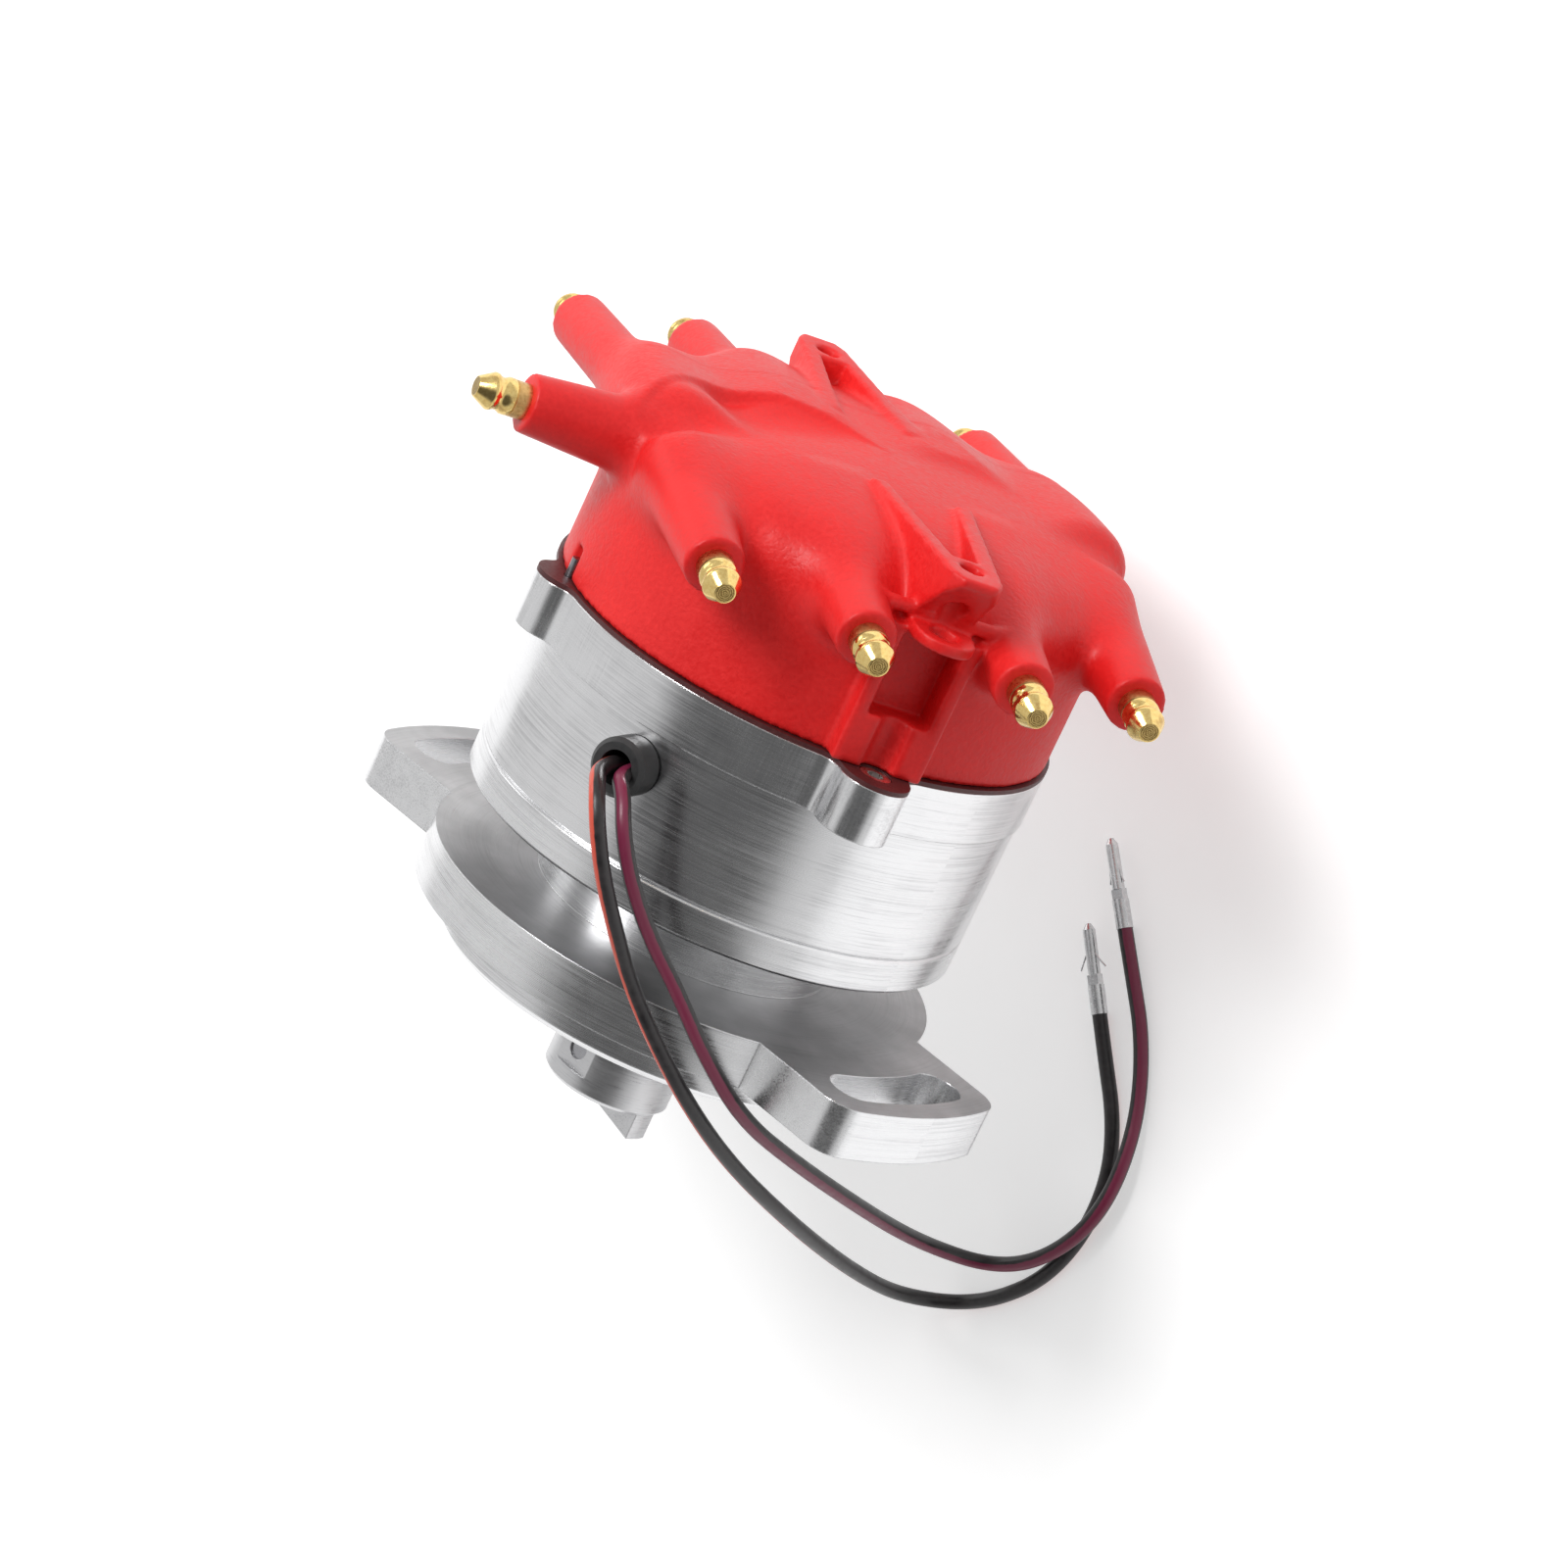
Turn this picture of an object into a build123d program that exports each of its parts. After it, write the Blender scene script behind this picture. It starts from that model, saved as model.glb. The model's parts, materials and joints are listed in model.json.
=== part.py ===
from build123d import *
import os
from math import atan2, cos, degrees, hypot, pi, radians, sin, sqrt, tan

# Crab-cap ignition distributor with a magnetic pickup and a centrifugal advance.
# The shaft lies level along Y and the cap faces -Y, as on the front of its engine. +Z is up.
# The origin is on the shaft axis, in the face of the flange that meets the engine.
# A "height" is a distance from that face along the shaft axis, positive towards the cap.

# ---- driving dimensions, in millimetres and degrees ----
running_clearance = 0.05          # radial, shaft in bush
assembly_clearance = 0.2          # between fixed pieces that drop together
moving_clearance = 0.4            # between pieces that pass each other

# mounting flange
flange_thickness = 9.5
flange_radius = 48.5
ear_radius = 68.6
ear_half_width = 22.0
ear_corner = 6.0
slot_width = 9.0
slot_edge = 4.6                   # metal left between the slot and the end of its ear
slot_radius = ear_radius - slot_edge - slot_width / 2
slot_half_angle = 11.5            # to the middle of the slot's round end
pilot_radius = 41.25
pilot_depth = 6.8
neck_radius = 28.5
bowl_bottom = 22.0                # height of the underside of the bowl

# bowl
bowl_radius = 47.4
bowl_split = 28.8                 # height of the joint between base and bowl
bowl_floor_height = 28.0
base_screw_circle = 21.5
base_screw_count = 3
base_screw_angle = 12.9
base_screw_radius = 2.5
base_screw_grip = 12.0
base_screw_head_radius = 4.2
base_screw_head = 4.0
bowl_bore = 42.5
rim_radius = 48.0
rim_bottom = 53.3
rim_top = 63.3
seam_groove = 0.45
screw_lobe_radius = 6.6
screw_circle = 50.6
pin_lobe_radius = 6.0
pin_circle = 46.8
lobe_fillet = 4.0
pin_angle = 58.5
locating_pin_radius = 1.0
locating_pin_depth = 6.0
locating_pin_rise = 4.5
cap_screw_radius = 2.1
cap_screw_grip = 9.0
cap_screw_head_radius = 2.9
cap_screw_head = 2.6
cap_screw_sink = 1.9

# cap
cap_angle = 149.5                 # direction of the near bank of towers about the shaft
gasket_thickness = 0.9
skirt_radius = 47.3
cap_wall = 3.0
spigot_depth = 3.0
shoulder_height = 87.0
plateau_height = 101.0
crown_height = 103.4
tower_end_radius = 5.25
tower_root_radius = 8.0
tower_droop = 6.0
tower_root = 22.0                 # how near to the cap's middle line a tower's root reaches
outer_tower_offset = 41.4         # of the outer pair of a bank from the cap's middle line
inner_tower_offset = 15.4
near_tip_radius = 69.0
near_tip_height = 88.2
far_tip_radius = 84.7
far_tip_height = 89.9
coil_tip_radius = 77.6
coil_tip_height = 92.2
post_height = 104.9
post_circle = 50.4
post_half_width = 7.2
post_hole_radius = 2.25
post_root = 22.0
post_flange_height = 92.5
post_flange_thickness = 3.0
post_flange_radius = 7.4
pocket_circle = 34.0
pocket_length = 17.0
pocket_width = 9.0
pocket_depth = 8.0
channel_half_width = 8.6
channel_wall = 2.6
channel_reach = 53.0
channel_floor_height = 74.0
channel_depth = 7.0
hollow_shoulder = 80.0
hollow_radius = 33.5
hollow_top = 88.0
brush_boss_radius = 6.0
brush_boss_bottom = 80.5
brush_seat = 90.0
brush_radius = 2.6

# brass terminals
terminal_length = 9.5
terminal_collar_radius = 3.3
terminal_nose_radius = 3.42
terminal_tip_radius = 1.9
terminal_depth = 13.0
terminal_shank_radius = 1.8

# shaft and drive
shaft_radius = 6.0
shaft_top = 61.0
bush_radius = 8.5
bush_top = 8.0
collar_radius = 12.1
collar_top = -8.0
collar_end = -26.1
collar_chamfer = 0.8
collar_flat = 11.4                # distance of the milled flat from the axis
tang_width = 4.7
tang_offset = 3.9
tang_length = 5.0
coupling_depth = 24.0             # how far below the mounting face the shaft reaches
coupling_pin_angle = 88.9
coupling_pin_length = 22.0
flat_bottom = -22.6
flat_height = 8.0
shoulder_radius = 8.4
shoulder_top = 33.0
clip_height = 58.2
tang_angle = 161.5
coupling_pin_height = -18.8
coupling_pin_radius = 2.0
bearing_width = 8.0
bearing_outer_radius = 14.0
bearing_race = 2.6
ball_count = 8
bearing_height = 14.0
seal_height = 9.0
seal_thickness = 5.0
seal_radius = 11.0
washer_thickness = 0.9
clip_thickness = 1.0

# pickup and trigger
reluctor_teeth = 8
reluctor_radius = 19.0
reluctor_root_radius = 15.0
reluctor_thickness = 6.0
reluctor_height = 38.0
tooth_width = 3.2
sleeve_wall = 3.0
sleeve_bottom = 34.2
pickup_angle = 102.9              # direction of the pickup and of the cable grommet
pickup_gap = 0.5
pickup_level = 41.0
pickup_body_start = 23.0
pickup_body_end = 34.5
pickup_width = 18.0
pickup_foot_radius = 33.0
pickup_screw_pitch = 20.0
pickup_screw_radius = 1.75
advance_range = 12.0              # degrees of sleeve on shaft

# centrifugal advance
plate_height = 51.0
plate_thickness = 2.5
plate_radius = 31.0
mechanism_angle = 20.0            # rest position of the weight pins about the shaft
weight_lift = 0.6                 # of a weight above its plate, on the pin's shoulder
weight_pin_circle = 24.0
weight_eye_radius = 4.6
weight_middle = (17.5, 14.5)
weight_middle_radius = 6.0
weight_end = (5.5, 20.5)
weight_end_radius = 6.5
leg_turn = 118.0
leg_circle = 24.5
leg_radius = 3.4
rotor_screw_radius = 1.5
cam_turn = 92.0
spring_anchor = 11.5
spring_post_radius = 1.2
spring_anchor_turn = -88.0
weight_pin_radius = 2.0
weight_thickness = 4.0
weight_swing = 22.0
cam_width = 6.5
cam_length = 29.5
spring_wire = 0.7
spring_coil_radius = 1.3
spring_turns = 6

# rotor and cap electrodes
rotor_base = 62.0
rotor_radius = 24.5
rotor_top = 76.5
rotor_angle = cap_angle + 22.5
rotor_hub_radius = 11.0
rotor_arm_width = 10.0
rotor_screw_offset = 14.0
blade_width = 6.0
brush_length = 7.0
blade_reach = 27.0
blade_thickness = 1.6
electrode_circle = 29.6
electrode_radius = 2.2
electrode_bottom = 75.8
electrode_top = 92.6
conductor_radius = 1.1

# leads
lead_radius = 1.45
grommet_height = 46.0
grommet_radius = 5.4
grommet_neck_radius = 4.2
grommet_face = 53.5               # how far from the shaft axis the grommet reaches
grommet_hole_radius = 3.2
grommet_hole_depth = 6.5
lead_offset = 1.55
pin_contact_radius = 1.2
pin_contact_length = 8.5
bench_height = -74.0              # of the surface that the leads lie on

weight_angles = (0.0, 180.0)


def station(height, angle=0.0):
    """Plane across the shaft axis, its normal towards the cap, its x turned by angle."""
    return Plane(origin=(0, -height, 0), x_dir=(cos(radians(angle)), 0, sin(radians(angle))), z_dir=(0, -1, 0))


def radial(angle=0.0):
    """Plane through the shaft axis: x is the radius at that angle, y the height."""
    return Plane(origin=(0, 0, 0), x_dir=(cos(radians(angle)), 0, sin(radians(angle))),
                 z_dir=(sin(radians(angle)), 0, -cos(radians(angle))))


def at(radius, angle, height):
    """Point at a radius, an angle about the shaft axis and a height."""
    return Vector(radius * cos(radians(angle)), -height, radius * sin(radians(angle)))


def outward(angle, droop=0.0):
    """Direction away from the shaft axis, drooping towards the flange."""
    return Vector(cos(radians(droop)) * cos(radians(angle)), sin(radians(droop)),
                  cos(radians(droop)) * sin(radians(angle)))


def tube_section(inner, outer, low, high):
    """Half section of a ring about the shaft axis, for a revolve."""
    with BuildSketch(radial()) as section:
        with Locations(((inner + outer) / 2, (low + high) / 2)):
            Rectangle(outer - inner, high - low)
    return section.sketch


def save(piece, name):
    piece.part.label = name
    export_step(piece.part, f"parts/{name}.step")


os.makedirs("parts", exist_ok=True)


# ---- mounting flange: disc, slotted ears, neck and pilot, turned from one billet ----
with BuildPart() as mounting_flange:
    with BuildSketch(station(0)):
        with BuildSketch(Plane.XY, mode=Mode.PRIVATE) as ears:
            Circle(ear_radius)
            Rectangle(2 * ear_radius, 2 * ear_half_width, mode=Mode.INTERSECT)
            fillet(ears.vertices(), ear_corner)
        Circle(flange_radius)
        add(ears.sketch)
        for side in (0, 180):
            with BuildLine(mode=Mode.PRIVATE) as slot_line:
                CenterArc((0, 0), slot_radius, side - slot_half_angle, 2 * slot_half_angle)
            SlotArc(slot_line.edges()[0], slot_width, mode=Mode.SUBTRACT)
    extrude(amount=flange_thickness)
    with BuildSketch(radial()):
        with BuildLine():
            Polyline((0, -pilot_depth), (pilot_radius - 1.2, -pilot_depth), (pilot_radius, 1.2 - pilot_depth),
                     (pilot_radius, 1), (neck_radius, 1), (neck_radius, bowl_bottom), (0, bowl_bottom), close=True)
        make_face()
    revolve(axis=Axis.Y)
    with BuildSketch(radial()):
        with BuildLine():
            Polyline((0, -pilot_depth - 1), (bush_radius, -pilot_depth - 1), (bush_radius, bush_top),
                     (shaft_radius + 1.2, bush_top), (shaft_radius + 1.2, seal_height), (seal_radius, seal_height),
                     (seal_radius, bearing_height), (bearing_outer_radius, bearing_height),
                     (bearing_outer_radius, bowl_bottom + 1), (0, bowl_bottom + 1), close=True)
        make_face()
    revolve(axis=Axis.Y, mode=Mode.SUBTRACT)
    with BuildSketch(station(bowl_bottom)):
        with PolarLocations(base_screw_circle, base_screw_count, start_angle=base_screw_angle):
            Circle(base_screw_radius)
    extrude(amount=-base_screw_grip, mode=Mode.SUBTRACT)
save(mounting_flange, "mounting_flange")

# ---- bowl base, screwed to the neck ----
with BuildPart() as bowl_base:
    with BuildSketch(radial()):
        with BuildLine():
            Polyline((bearing_outer_radius - 2, bowl_bottom), (bowl_radius - 0.6, bowl_bottom),
                     (bowl_radius, bowl_bottom + 0.6), (bowl_radius, bowl_split - seam_groove),
                     (bowl_radius - seam_groove, bowl_split), (bowl_bore, bowl_split),
                     (bowl_bore, bowl_split + spigot_depth), (bowl_bore - 2.5, bowl_split + spigot_depth),
                     (bowl_bore - 2.5, bowl_floor_height), (bearing_outer_radius - 2, bowl_floor_height), close=True)
        make_face()
    revolve(axis=Axis.Y)
    with BuildSketch(station(bowl_bottom)):
        with PolarLocations(base_screw_circle, base_screw_count, start_angle=base_screw_angle):
            Circle(base_screw_radius + assembly_clearance)
        with Locations((pickup_foot_radius * cos(radians(pickup_angle)), pickup_foot_radius * sin(radians(pickup_angle)))):
            with Locations(Location((0, 0, 0), (0, 0, pickup_angle))):
                with GridLocations(0, pickup_screw_pitch, 1, 2):
                    Circle(pickup_screw_radius)
    extrude(amount=bowl_split, mode=Mode.SUBTRACT)
save(bowl_base, "bowl_base")


def rim_outline(bore):
    """Outline of the rim and its lobes, used by the bowl and by the plate on top of it."""
    with BuildSketch() as outline:
        Circle(rim_radius)
        with PolarLocations(screw_circle, 2, start_angle=cap_angle):
            Circle(screw_lobe_radius)
        with Locations((pin_circle * cos(radians(pin_angle)), pin_circle * sin(radians(pin_angle)))):
            Circle(pin_lobe_radius)
        fillet(outline.vertices(), lobe_fillet)
        Circle(bore, mode=Mode.SUBTRACT)
    return outline.sketch


# ---- bowl: tube and rim with two screw lobes and a locating lobe ----
with BuildPart() as bowl:
    with BuildSketch(radial()):
        with BuildLine():
            Polyline((bowl_bore, bowl_split), (bowl_radius - seam_groove, bowl_split),
                     (bowl_radius, bowl_split + seam_groove), (bowl_radius, rim_bottom + 1),
                     (bowl_bore, rim_bottom + 1), close=True)
        make_face()
    revolve(axis=Axis.Y)
    with BuildSketch(station(rim_bottom)):
        add(rim_outline(bowl_bore))
    extrude(amount=rim_top - rim_bottom)
    with BuildSketch(station(rim_top)):
        with PolarLocations(screw_circle, 2, start_angle=cap_angle):
            Circle(cap_screw_radius)
    extrude(amount=-cap_screw_grip - cap_screw_sink, mode=Mode.SUBTRACT)
    with BuildSketch(station(rim_top)):
        with PolarLocations(screw_circle, 2, start_angle=cap_angle):
            Circle(cap_screw_head_radius + assembly_clearance)
    extrude(amount=-cap_screw_sink, mode=Mode.SUBTRACT)
    with BuildSketch(station(rim_top)):
        with Locations((pin_circle * cos(radians(pin_angle)), pin_circle * sin(radians(pin_angle)))):
            Circle(locating_pin_radius)
    extrude(amount=-locating_pin_depth, mode=Mode.SUBTRACT)
    with Locations(Plane(origin=at(0, 0, grommet_height), z_dir=outward(pickup_angle))):
        Cylinder(grommet_neck_radius, 2 * bowl_radius, align=(Align.CENTER, Align.CENTER, Align.MIN),
                 mode=Mode.SUBTRACT)
save(bowl, "bowl")

with BuildPart() as cap_gasket:
    with BuildSketch(station(rim_top)) as plate:
        add(rim_outline(bowl_bore + 0.5))
        with PolarLocations(screw_circle, 2, start_angle=cap_angle):
            Circle(cap_screw_head_radius + assembly_clearance, mode=Mode.SUBTRACT)
        with Locations((pin_circle * cos(radians(pin_angle)), pin_circle * sin(radians(pin_angle)))):
            Circle(locating_pin_radius + assembly_clearance, mode=Mode.SUBTRACT)
    extrude(amount=gasket_thickness)
save(cap_gasket, "cap_gasket")

with BuildPart() as locating_pin:
    with Locations(Plane(origin=at(pin_circle, pin_angle, rim_top - locating_pin_depth), z_dir=(0, -1, 0))):
        Cylinder(locating_pin_radius, locating_pin_depth + locating_pin_rise,
                 align=(Align.CENTER, Align.CENTER, Align.MIN))
save(locating_pin, "locating_pin")


# ---- cap: a crab cap with two banks of towers and a coil tower ----
class Tower:
    """A tower of the cap: the tip of its terminal, its direction and its length."""

    def __init__(self, across, along, tip_height, side, droop, reach, root_radius):
        self.direction = outward(cap_angle + side, droop)
        tip_angle = cap_angle + degrees(atan2(across, along))
        self.tip = at(hypot(across, along), tip_angle, tip_height)
        self.end = self.tip - self.direction * terminal_length
        self.length = (reach - terminal_length * cos(radians(droop))) / cos(radians(droop))
        self.root_radius = root_radius
        self.plane = Plane(origin=self.end, x_dir=(0, -1, 0), z_dir=self.direction)
        self.into_cap = Plane(origin=self.end, x_dir=(0, -1, 0), z_dir=self.direction * -1)


towers = []
for side, tip_radius, tip_height in ((0, near_tip_radius, near_tip_height), (180, far_tip_radius, far_tip_height)):
    for across in (-outer_tower_offset, -inner_tower_offset, inner_tower_offset, outer_tower_offset):
        along = sqrt(tip_radius ** 2 - across ** 2)
        sign = 1 if side == 0 else -1
        towers.append(Tower(across, sign * along, tip_height, side, tower_droop - side / 180,
                            along - tower_root, tower_root_radius))
coil_tower = Tower(-coil_tip_radius, 0, coil_tip_height, -90, 0, coil_tip_radius - tower_root, tower_root_radius)

with BuildPart() as terminal:
    with BuildSketch(Plane.XZ) as terminal_profile:
        with BuildLine():
            Polyline((0, -terminal_depth), (terminal_shank_radius, -terminal_depth), (terminal_shank_radius, 0),
                     (terminal_collar_radius, 0), (terminal_collar_radius, 2.4), (2.6, 2.9), (2.6, 3.4),
                     (terminal_collar_radius, 3.9), (terminal_collar_radius, 4.3), (2.35, 5.3), (2.35, 5.9),
                     (terminal_nose_radius - 0.25, 6.7), (terminal_nose_radius, 7.0), (terminal_nose_radius, 7.4),
                     (terminal_tip_radius, terminal_length), (0, terminal_length), close=True)
        make_face()
    revolve(axis=Axis.Z)

with BuildPart() as plug_terminals:
    with Locations(*[tower.plane for tower in towers]):
        add(terminal.part)
save(plug_terminals, "plug_terminals")

with BuildPart() as coil_terminal:
    with Locations(coil_tower.plane):
        add(terminal.part)
save(coil_terminal, "coil_terminal")

# posts that hang in the cap, each joined to its own terminal by a moulded-in conductor
with BuildPart() as cap_electrodes:
    for index, tower in enumerate(towers):
        near = index < 4
        step = (-67.5, -22.5, 22.5, 67.5)[index % 4]
        angle = cap_angle + step if near else cap_angle + 180 - step
        top = at(electrode_circle, angle, electrode_top)
        with Locations(Plane(origin=at(electrode_circle, angle, electrode_bottom), z_dir=(0, -1, 0))):
            Cylinder(electrode_radius, electrode_top - electrode_bottom, align=(Align.CENTER, Align.CENTER, Align.MIN))
        start = at(electrode_circle, angle, electrode_top - conductor_radius - 0.4)
        finish = tower.end - tower.direction * (terminal_depth - 1.5)
        run = finish - start
        with Locations(Plane(origin=start, z_dir=run)):
            Cylinder(conductor_radius, run.length, align=(Align.CENTER, Align.CENTER, Align.MIN))
    add(plug_terminals.part, mode=Mode.SUBTRACT)
save(cap_electrodes, "cap_electrodes")

with BuildPart() as coil_conductor:
    start = coil_tower.end - coil_tower.direction * (terminal_depth - 1.5)
    finish = at(0, 0, coil_tip_height)      # the rod ends inside the seat of the brush's spring
    with Locations(Plane(origin=start, z_dir=finish - start)):
        Cylinder(conductor_radius, (finish - start).length, align=(Align.CENTER, Align.CENTER, Align.MIN))
    with Locations(Plane(origin=at(0, 0, brush_seat), z_dir=(0, -1, 0))):
        Cylinder(brush_radius, coil_tip_height + 2 * conductor_radius - brush_seat,
                 align=(Align.CENTER, Align.CENTER, Align.MIN))
    add(coil_terminal.part, mode=Mode.SUBTRACT)
save(coil_conductor, "coil_conductor")

crown_drop = crown_height - plateau_height + 1.2
crown_curve = ((skirt_radius - 11.5) ** 2 + crown_drop ** 2) / (2 * crown_drop)


def crown_point(radius):
    """Point of the domed top at a radius from the shaft axis."""
    return (radius, crown_height - crown_curve + sqrt(crown_curve ** 2 - radius ** 2))


cap_base = rim_top + gasket_thickness
with BuildPart() as distributor_cap:
    with BuildSketch(radial()):
        with BuildLine():
            skirt = Polyline((0, cap_base), (skirt_radius, cap_base), (skirt_radius, shoulder_height))
            shoulder = ThreePointArc(skirt @ 1, (skirt_radius - 3.2, shoulder_height + 7.6),
                                     (skirt_radius - 11.5, plateau_height - 1.2))
            crown = ThreePointArc(shoulder @ 1, crown_point(skirt_radius - 27), (0, crown_height))
            Line(crown @ 1, (0, cap_base))
        make_face()
    revolve(axis=Axis.Y)
    for tower in towers + [coil_tower]:
        with Locations(tower.into_cap):
            Cone(tower_end_radius, tower.root_radius, tower.length, align=(Align.CENTER, Align.CENTER, Align.MIN))
    # channels for the hold-down screws and the posts above them
    with BuildSketch(station(cap_base, cap_angle)):
        Rectangle(2 * channel_reach - 6, 2 * channel_half_width)
    extrude(amount=post_flange_height - cap_base)
    with BuildSketch(station(post_flange_height - post_flange_thickness, cap_angle)):
        with GridLocations(2 * post_circle, 0, 2, 1):
            Circle(post_flange_radius)
        Rectangle(2 * post_circle, 2 * channel_half_width - 2)
    extrude(amount=post_flange_thickness)
    with BuildSketch(station(post_flange_height - 1, cap_angle)):
        SlotOverall(2 * post_circle + 2 * post_half_width, 2 * post_half_width)
        Circle(post_root, mode=Mode.SUBTRACT)
    extrude(amount=post_height - post_flange_height + 1)
    # pocket between the webs of each post
    with BuildSketch(station(post_height, cap_angle)):
        with GridLocations(2 * pocket_circle, 0, 2, 1):
            RectangleRounded(pocket_length, pocket_width, 1.5)
    extrude(amount=-pocket_depth, mode=Mode.SUBTRACT)
    with BuildSketch(station(channel_floor_height, cap_angle)):
        with GridLocations(2 * (channel_reach - 6), 0, 2, 1):
            Rectangle(channel_depth, 2 * (channel_half_width - channel_wall))
    extrude(amount=post_flange_height - post_flange_thickness - channel_floor_height, mode=Mode.SUBTRACT)
    with BuildSketch(station(post_height + 1, cap_angle)):
        with GridLocations(2 * post_circle, 0, 2, 1):
            Circle(post_hole_radius)
    extrude(amount=-(post_height - channel_floor_height - 5), mode=Mode.SUBTRACT)
    # spigot inside the rim, and the hollow of the cap
    with BuildSketch(station(cap_base - spigot_depth)):
        Circle(bowl_bore - assembly_clearance)
    extrude(amount=spigot_depth)
    with BuildSketch(radial()):
        with BuildLine():
            wall = Polyline((0, cap_base - spigot_depth - 1), (bowl_bore - assembly_clearance - 2.5,
                            cap_base - spigot_depth - 1), (bowl_bore - assembly_clearance - 2.5, hollow_shoulder))
            roof = Line(wall @ 1, (hollow_radius, hollow_top))
            Line(roof @ 1, (brush_boss_radius, hollow_top))
            Line((brush_boss_radius, hollow_top), (brush_boss_radius, brush_boss_bottom))
            Line((brush_boss_radius, brush_boss_bottom), (0, brush_boss_bottom))
            Line((0, brush_boss_bottom), (0, cap_base - spigot_depth - 1))
        make_face()
    revolve(axis=Axis.Y, mode=Mode.SUBTRACT)
    with Locations(Plane(origin=at(0, 0, brush_boss_bottom - 1), z_dir=(0, -1, 0))):
        Cylinder(brush_radius + moving_clearance / 4, brush_seat - brush_boss_bottom + 1,
                 align=(Align.CENTER, Align.CENTER, Align.MIN), mode=Mode.SUBTRACT)
    # notch for the locating pin
    with BuildSketch(station(cap_base)):
        with Locations((pin_circle * cos(radians(pin_angle)), pin_circle * sin(radians(pin_angle)))):
            Circle(locating_pin_radius + 0.5)
    extrude(amount=locating_pin_rise + 1, mode=Mode.SUBTRACT)
    add(plug_terminals.part, mode=Mode.SUBTRACT)
    add(coil_terminal.part, mode=Mode.SUBTRACT)
    add(cap_electrodes.part, mode=Mode.SUBTRACT)
    add(coil_conductor.part, mode=Mode.SUBTRACT)
save(distributor_cap, "distributor_cap")

with BuildPart() as cap_screws:
    screw_bottom = rim_top - cap_screw_sink - cap_screw_grip
    with Locations(*[Plane(origin=at(screw_circle, cap_angle + turn, screw_bottom), z_dir=(0, -1, 0))
                     for turn in (0, 180)]):
        Cylinder(cap_screw_radius, cap_screw_grip, align=(Align.CENTER, Align.CENTER, Align.MIN))
        with Locations((0, 0, cap_screw_grip)):
            Cylinder(cap_screw_head_radius, cap_screw_head, align=(Align.CENTER, Align.CENTER, Align.MIN))
    with BuildSketch(station(rim_top - cap_screw_sink + cap_screw_head, cap_angle)):
        with GridLocations(2 * screw_circle, 0, 2, 1):
            RegularPolygon(1.45, 6, major_radius=False)
    extrude(amount=-1.6, mode=Mode.SUBTRACT)
save(cap_screws, "cap_screws")


# ---- main shaft and its drive ----
with BuildPart() as main_shaft:
    with BuildSketch(radial()):
        with BuildLine():
            Polyline((0, -coupling_depth), (shaft_radius, -coupling_depth), (shaft_radius, bowl_bottom + 0.2),
                     (shoulder_radius, bowl_bottom + 0.2), (shoulder_radius, shoulder_top),
                     (shaft_radius, shoulder_top), (shaft_radius, clip_height),
                     (shaft_radius - 0.8, clip_height), (shaft_radius - 0.8, clip_height + clip_thickness),
                     (shaft_radius, clip_height + clip_thickness), (shaft_radius, shaft_top - 0.6),
                     (shaft_radius - 0.6, shaft_top), (0, shaft_top), close=True)
        make_face()
    revolve(axis=Axis.Y)
    with Locations(Plane(origin=at(0, 0, coupling_pin_height), z_dir=outward(coupling_pin_angle))):
        Cylinder(coupling_pin_radius, 3 * shaft_radius, mode=Mode.SUBTRACT)
save(main_shaft, "main_shaft")

with BuildPart() as drive_coupling:
    with BuildSketch(radial()):
        with BuildLine():
            Polyline((0, collar_end), (collar_radius - collar_chamfer, collar_end),
                     (collar_radius, collar_end + collar_chamfer), (collar_radius, collar_top - 0.4),
                     (collar_radius - 0.4, collar_top), (0, collar_top), close=True)
        make_face()
    revolve(axis=Axis.Y)
    with BuildSketch(station(collar_end + 0.5, tang_angle)):
        Circle(collar_radius - collar_chamfer)
        with Locations((0, tang_offset)):
            Rectangle(4 * collar_radius, tang_width, mode=Mode.INTERSECT)
    extrude(amount=-tang_length - 0.5)
    # flat over the cross pin
    with BuildSketch(station(flat_bottom, coupling_pin_angle)):
        with Locations((collar_flat + 5, 0)):
            Rectangle(10, 3 * collar_radius)
    extrude(amount=flat_height, mode=Mode.SUBTRACT)
    with BuildSketch(station(-coupling_depth)):
        Circle(shaft_radius)
    extrude(amount=coupling_depth, mode=Mode.SUBTRACT)
    with Locations(Plane(origin=at(0, 0, coupling_pin_height), z_dir=outward(coupling_pin_angle))):
        Cylinder(coupling_pin_radius, 3 * collar_radius, mode=Mode.SUBTRACT)
save(drive_coupling, "drive_coupling")

with BuildPart() as coupling_pin:
    with Locations(Plane(origin=at(0, 0, coupling_pin_height), z_dir=outward(coupling_pin_angle))):
        Cylinder(coupling_pin_radius, coupling_pin_length)
save(coupling_pin, "coupling_pin")


def ring(name, inner, outer, low, high):
    """A plain ring about the shaft axis, saved under its name."""
    with BuildPart() as piece:
        with BuildSketch(station(low)):
            Circle(outer)
            Circle(inner, mode=Mode.SUBTRACT)
        extrude(amount=high - low)
    save(piece, name)
    return piece


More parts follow.
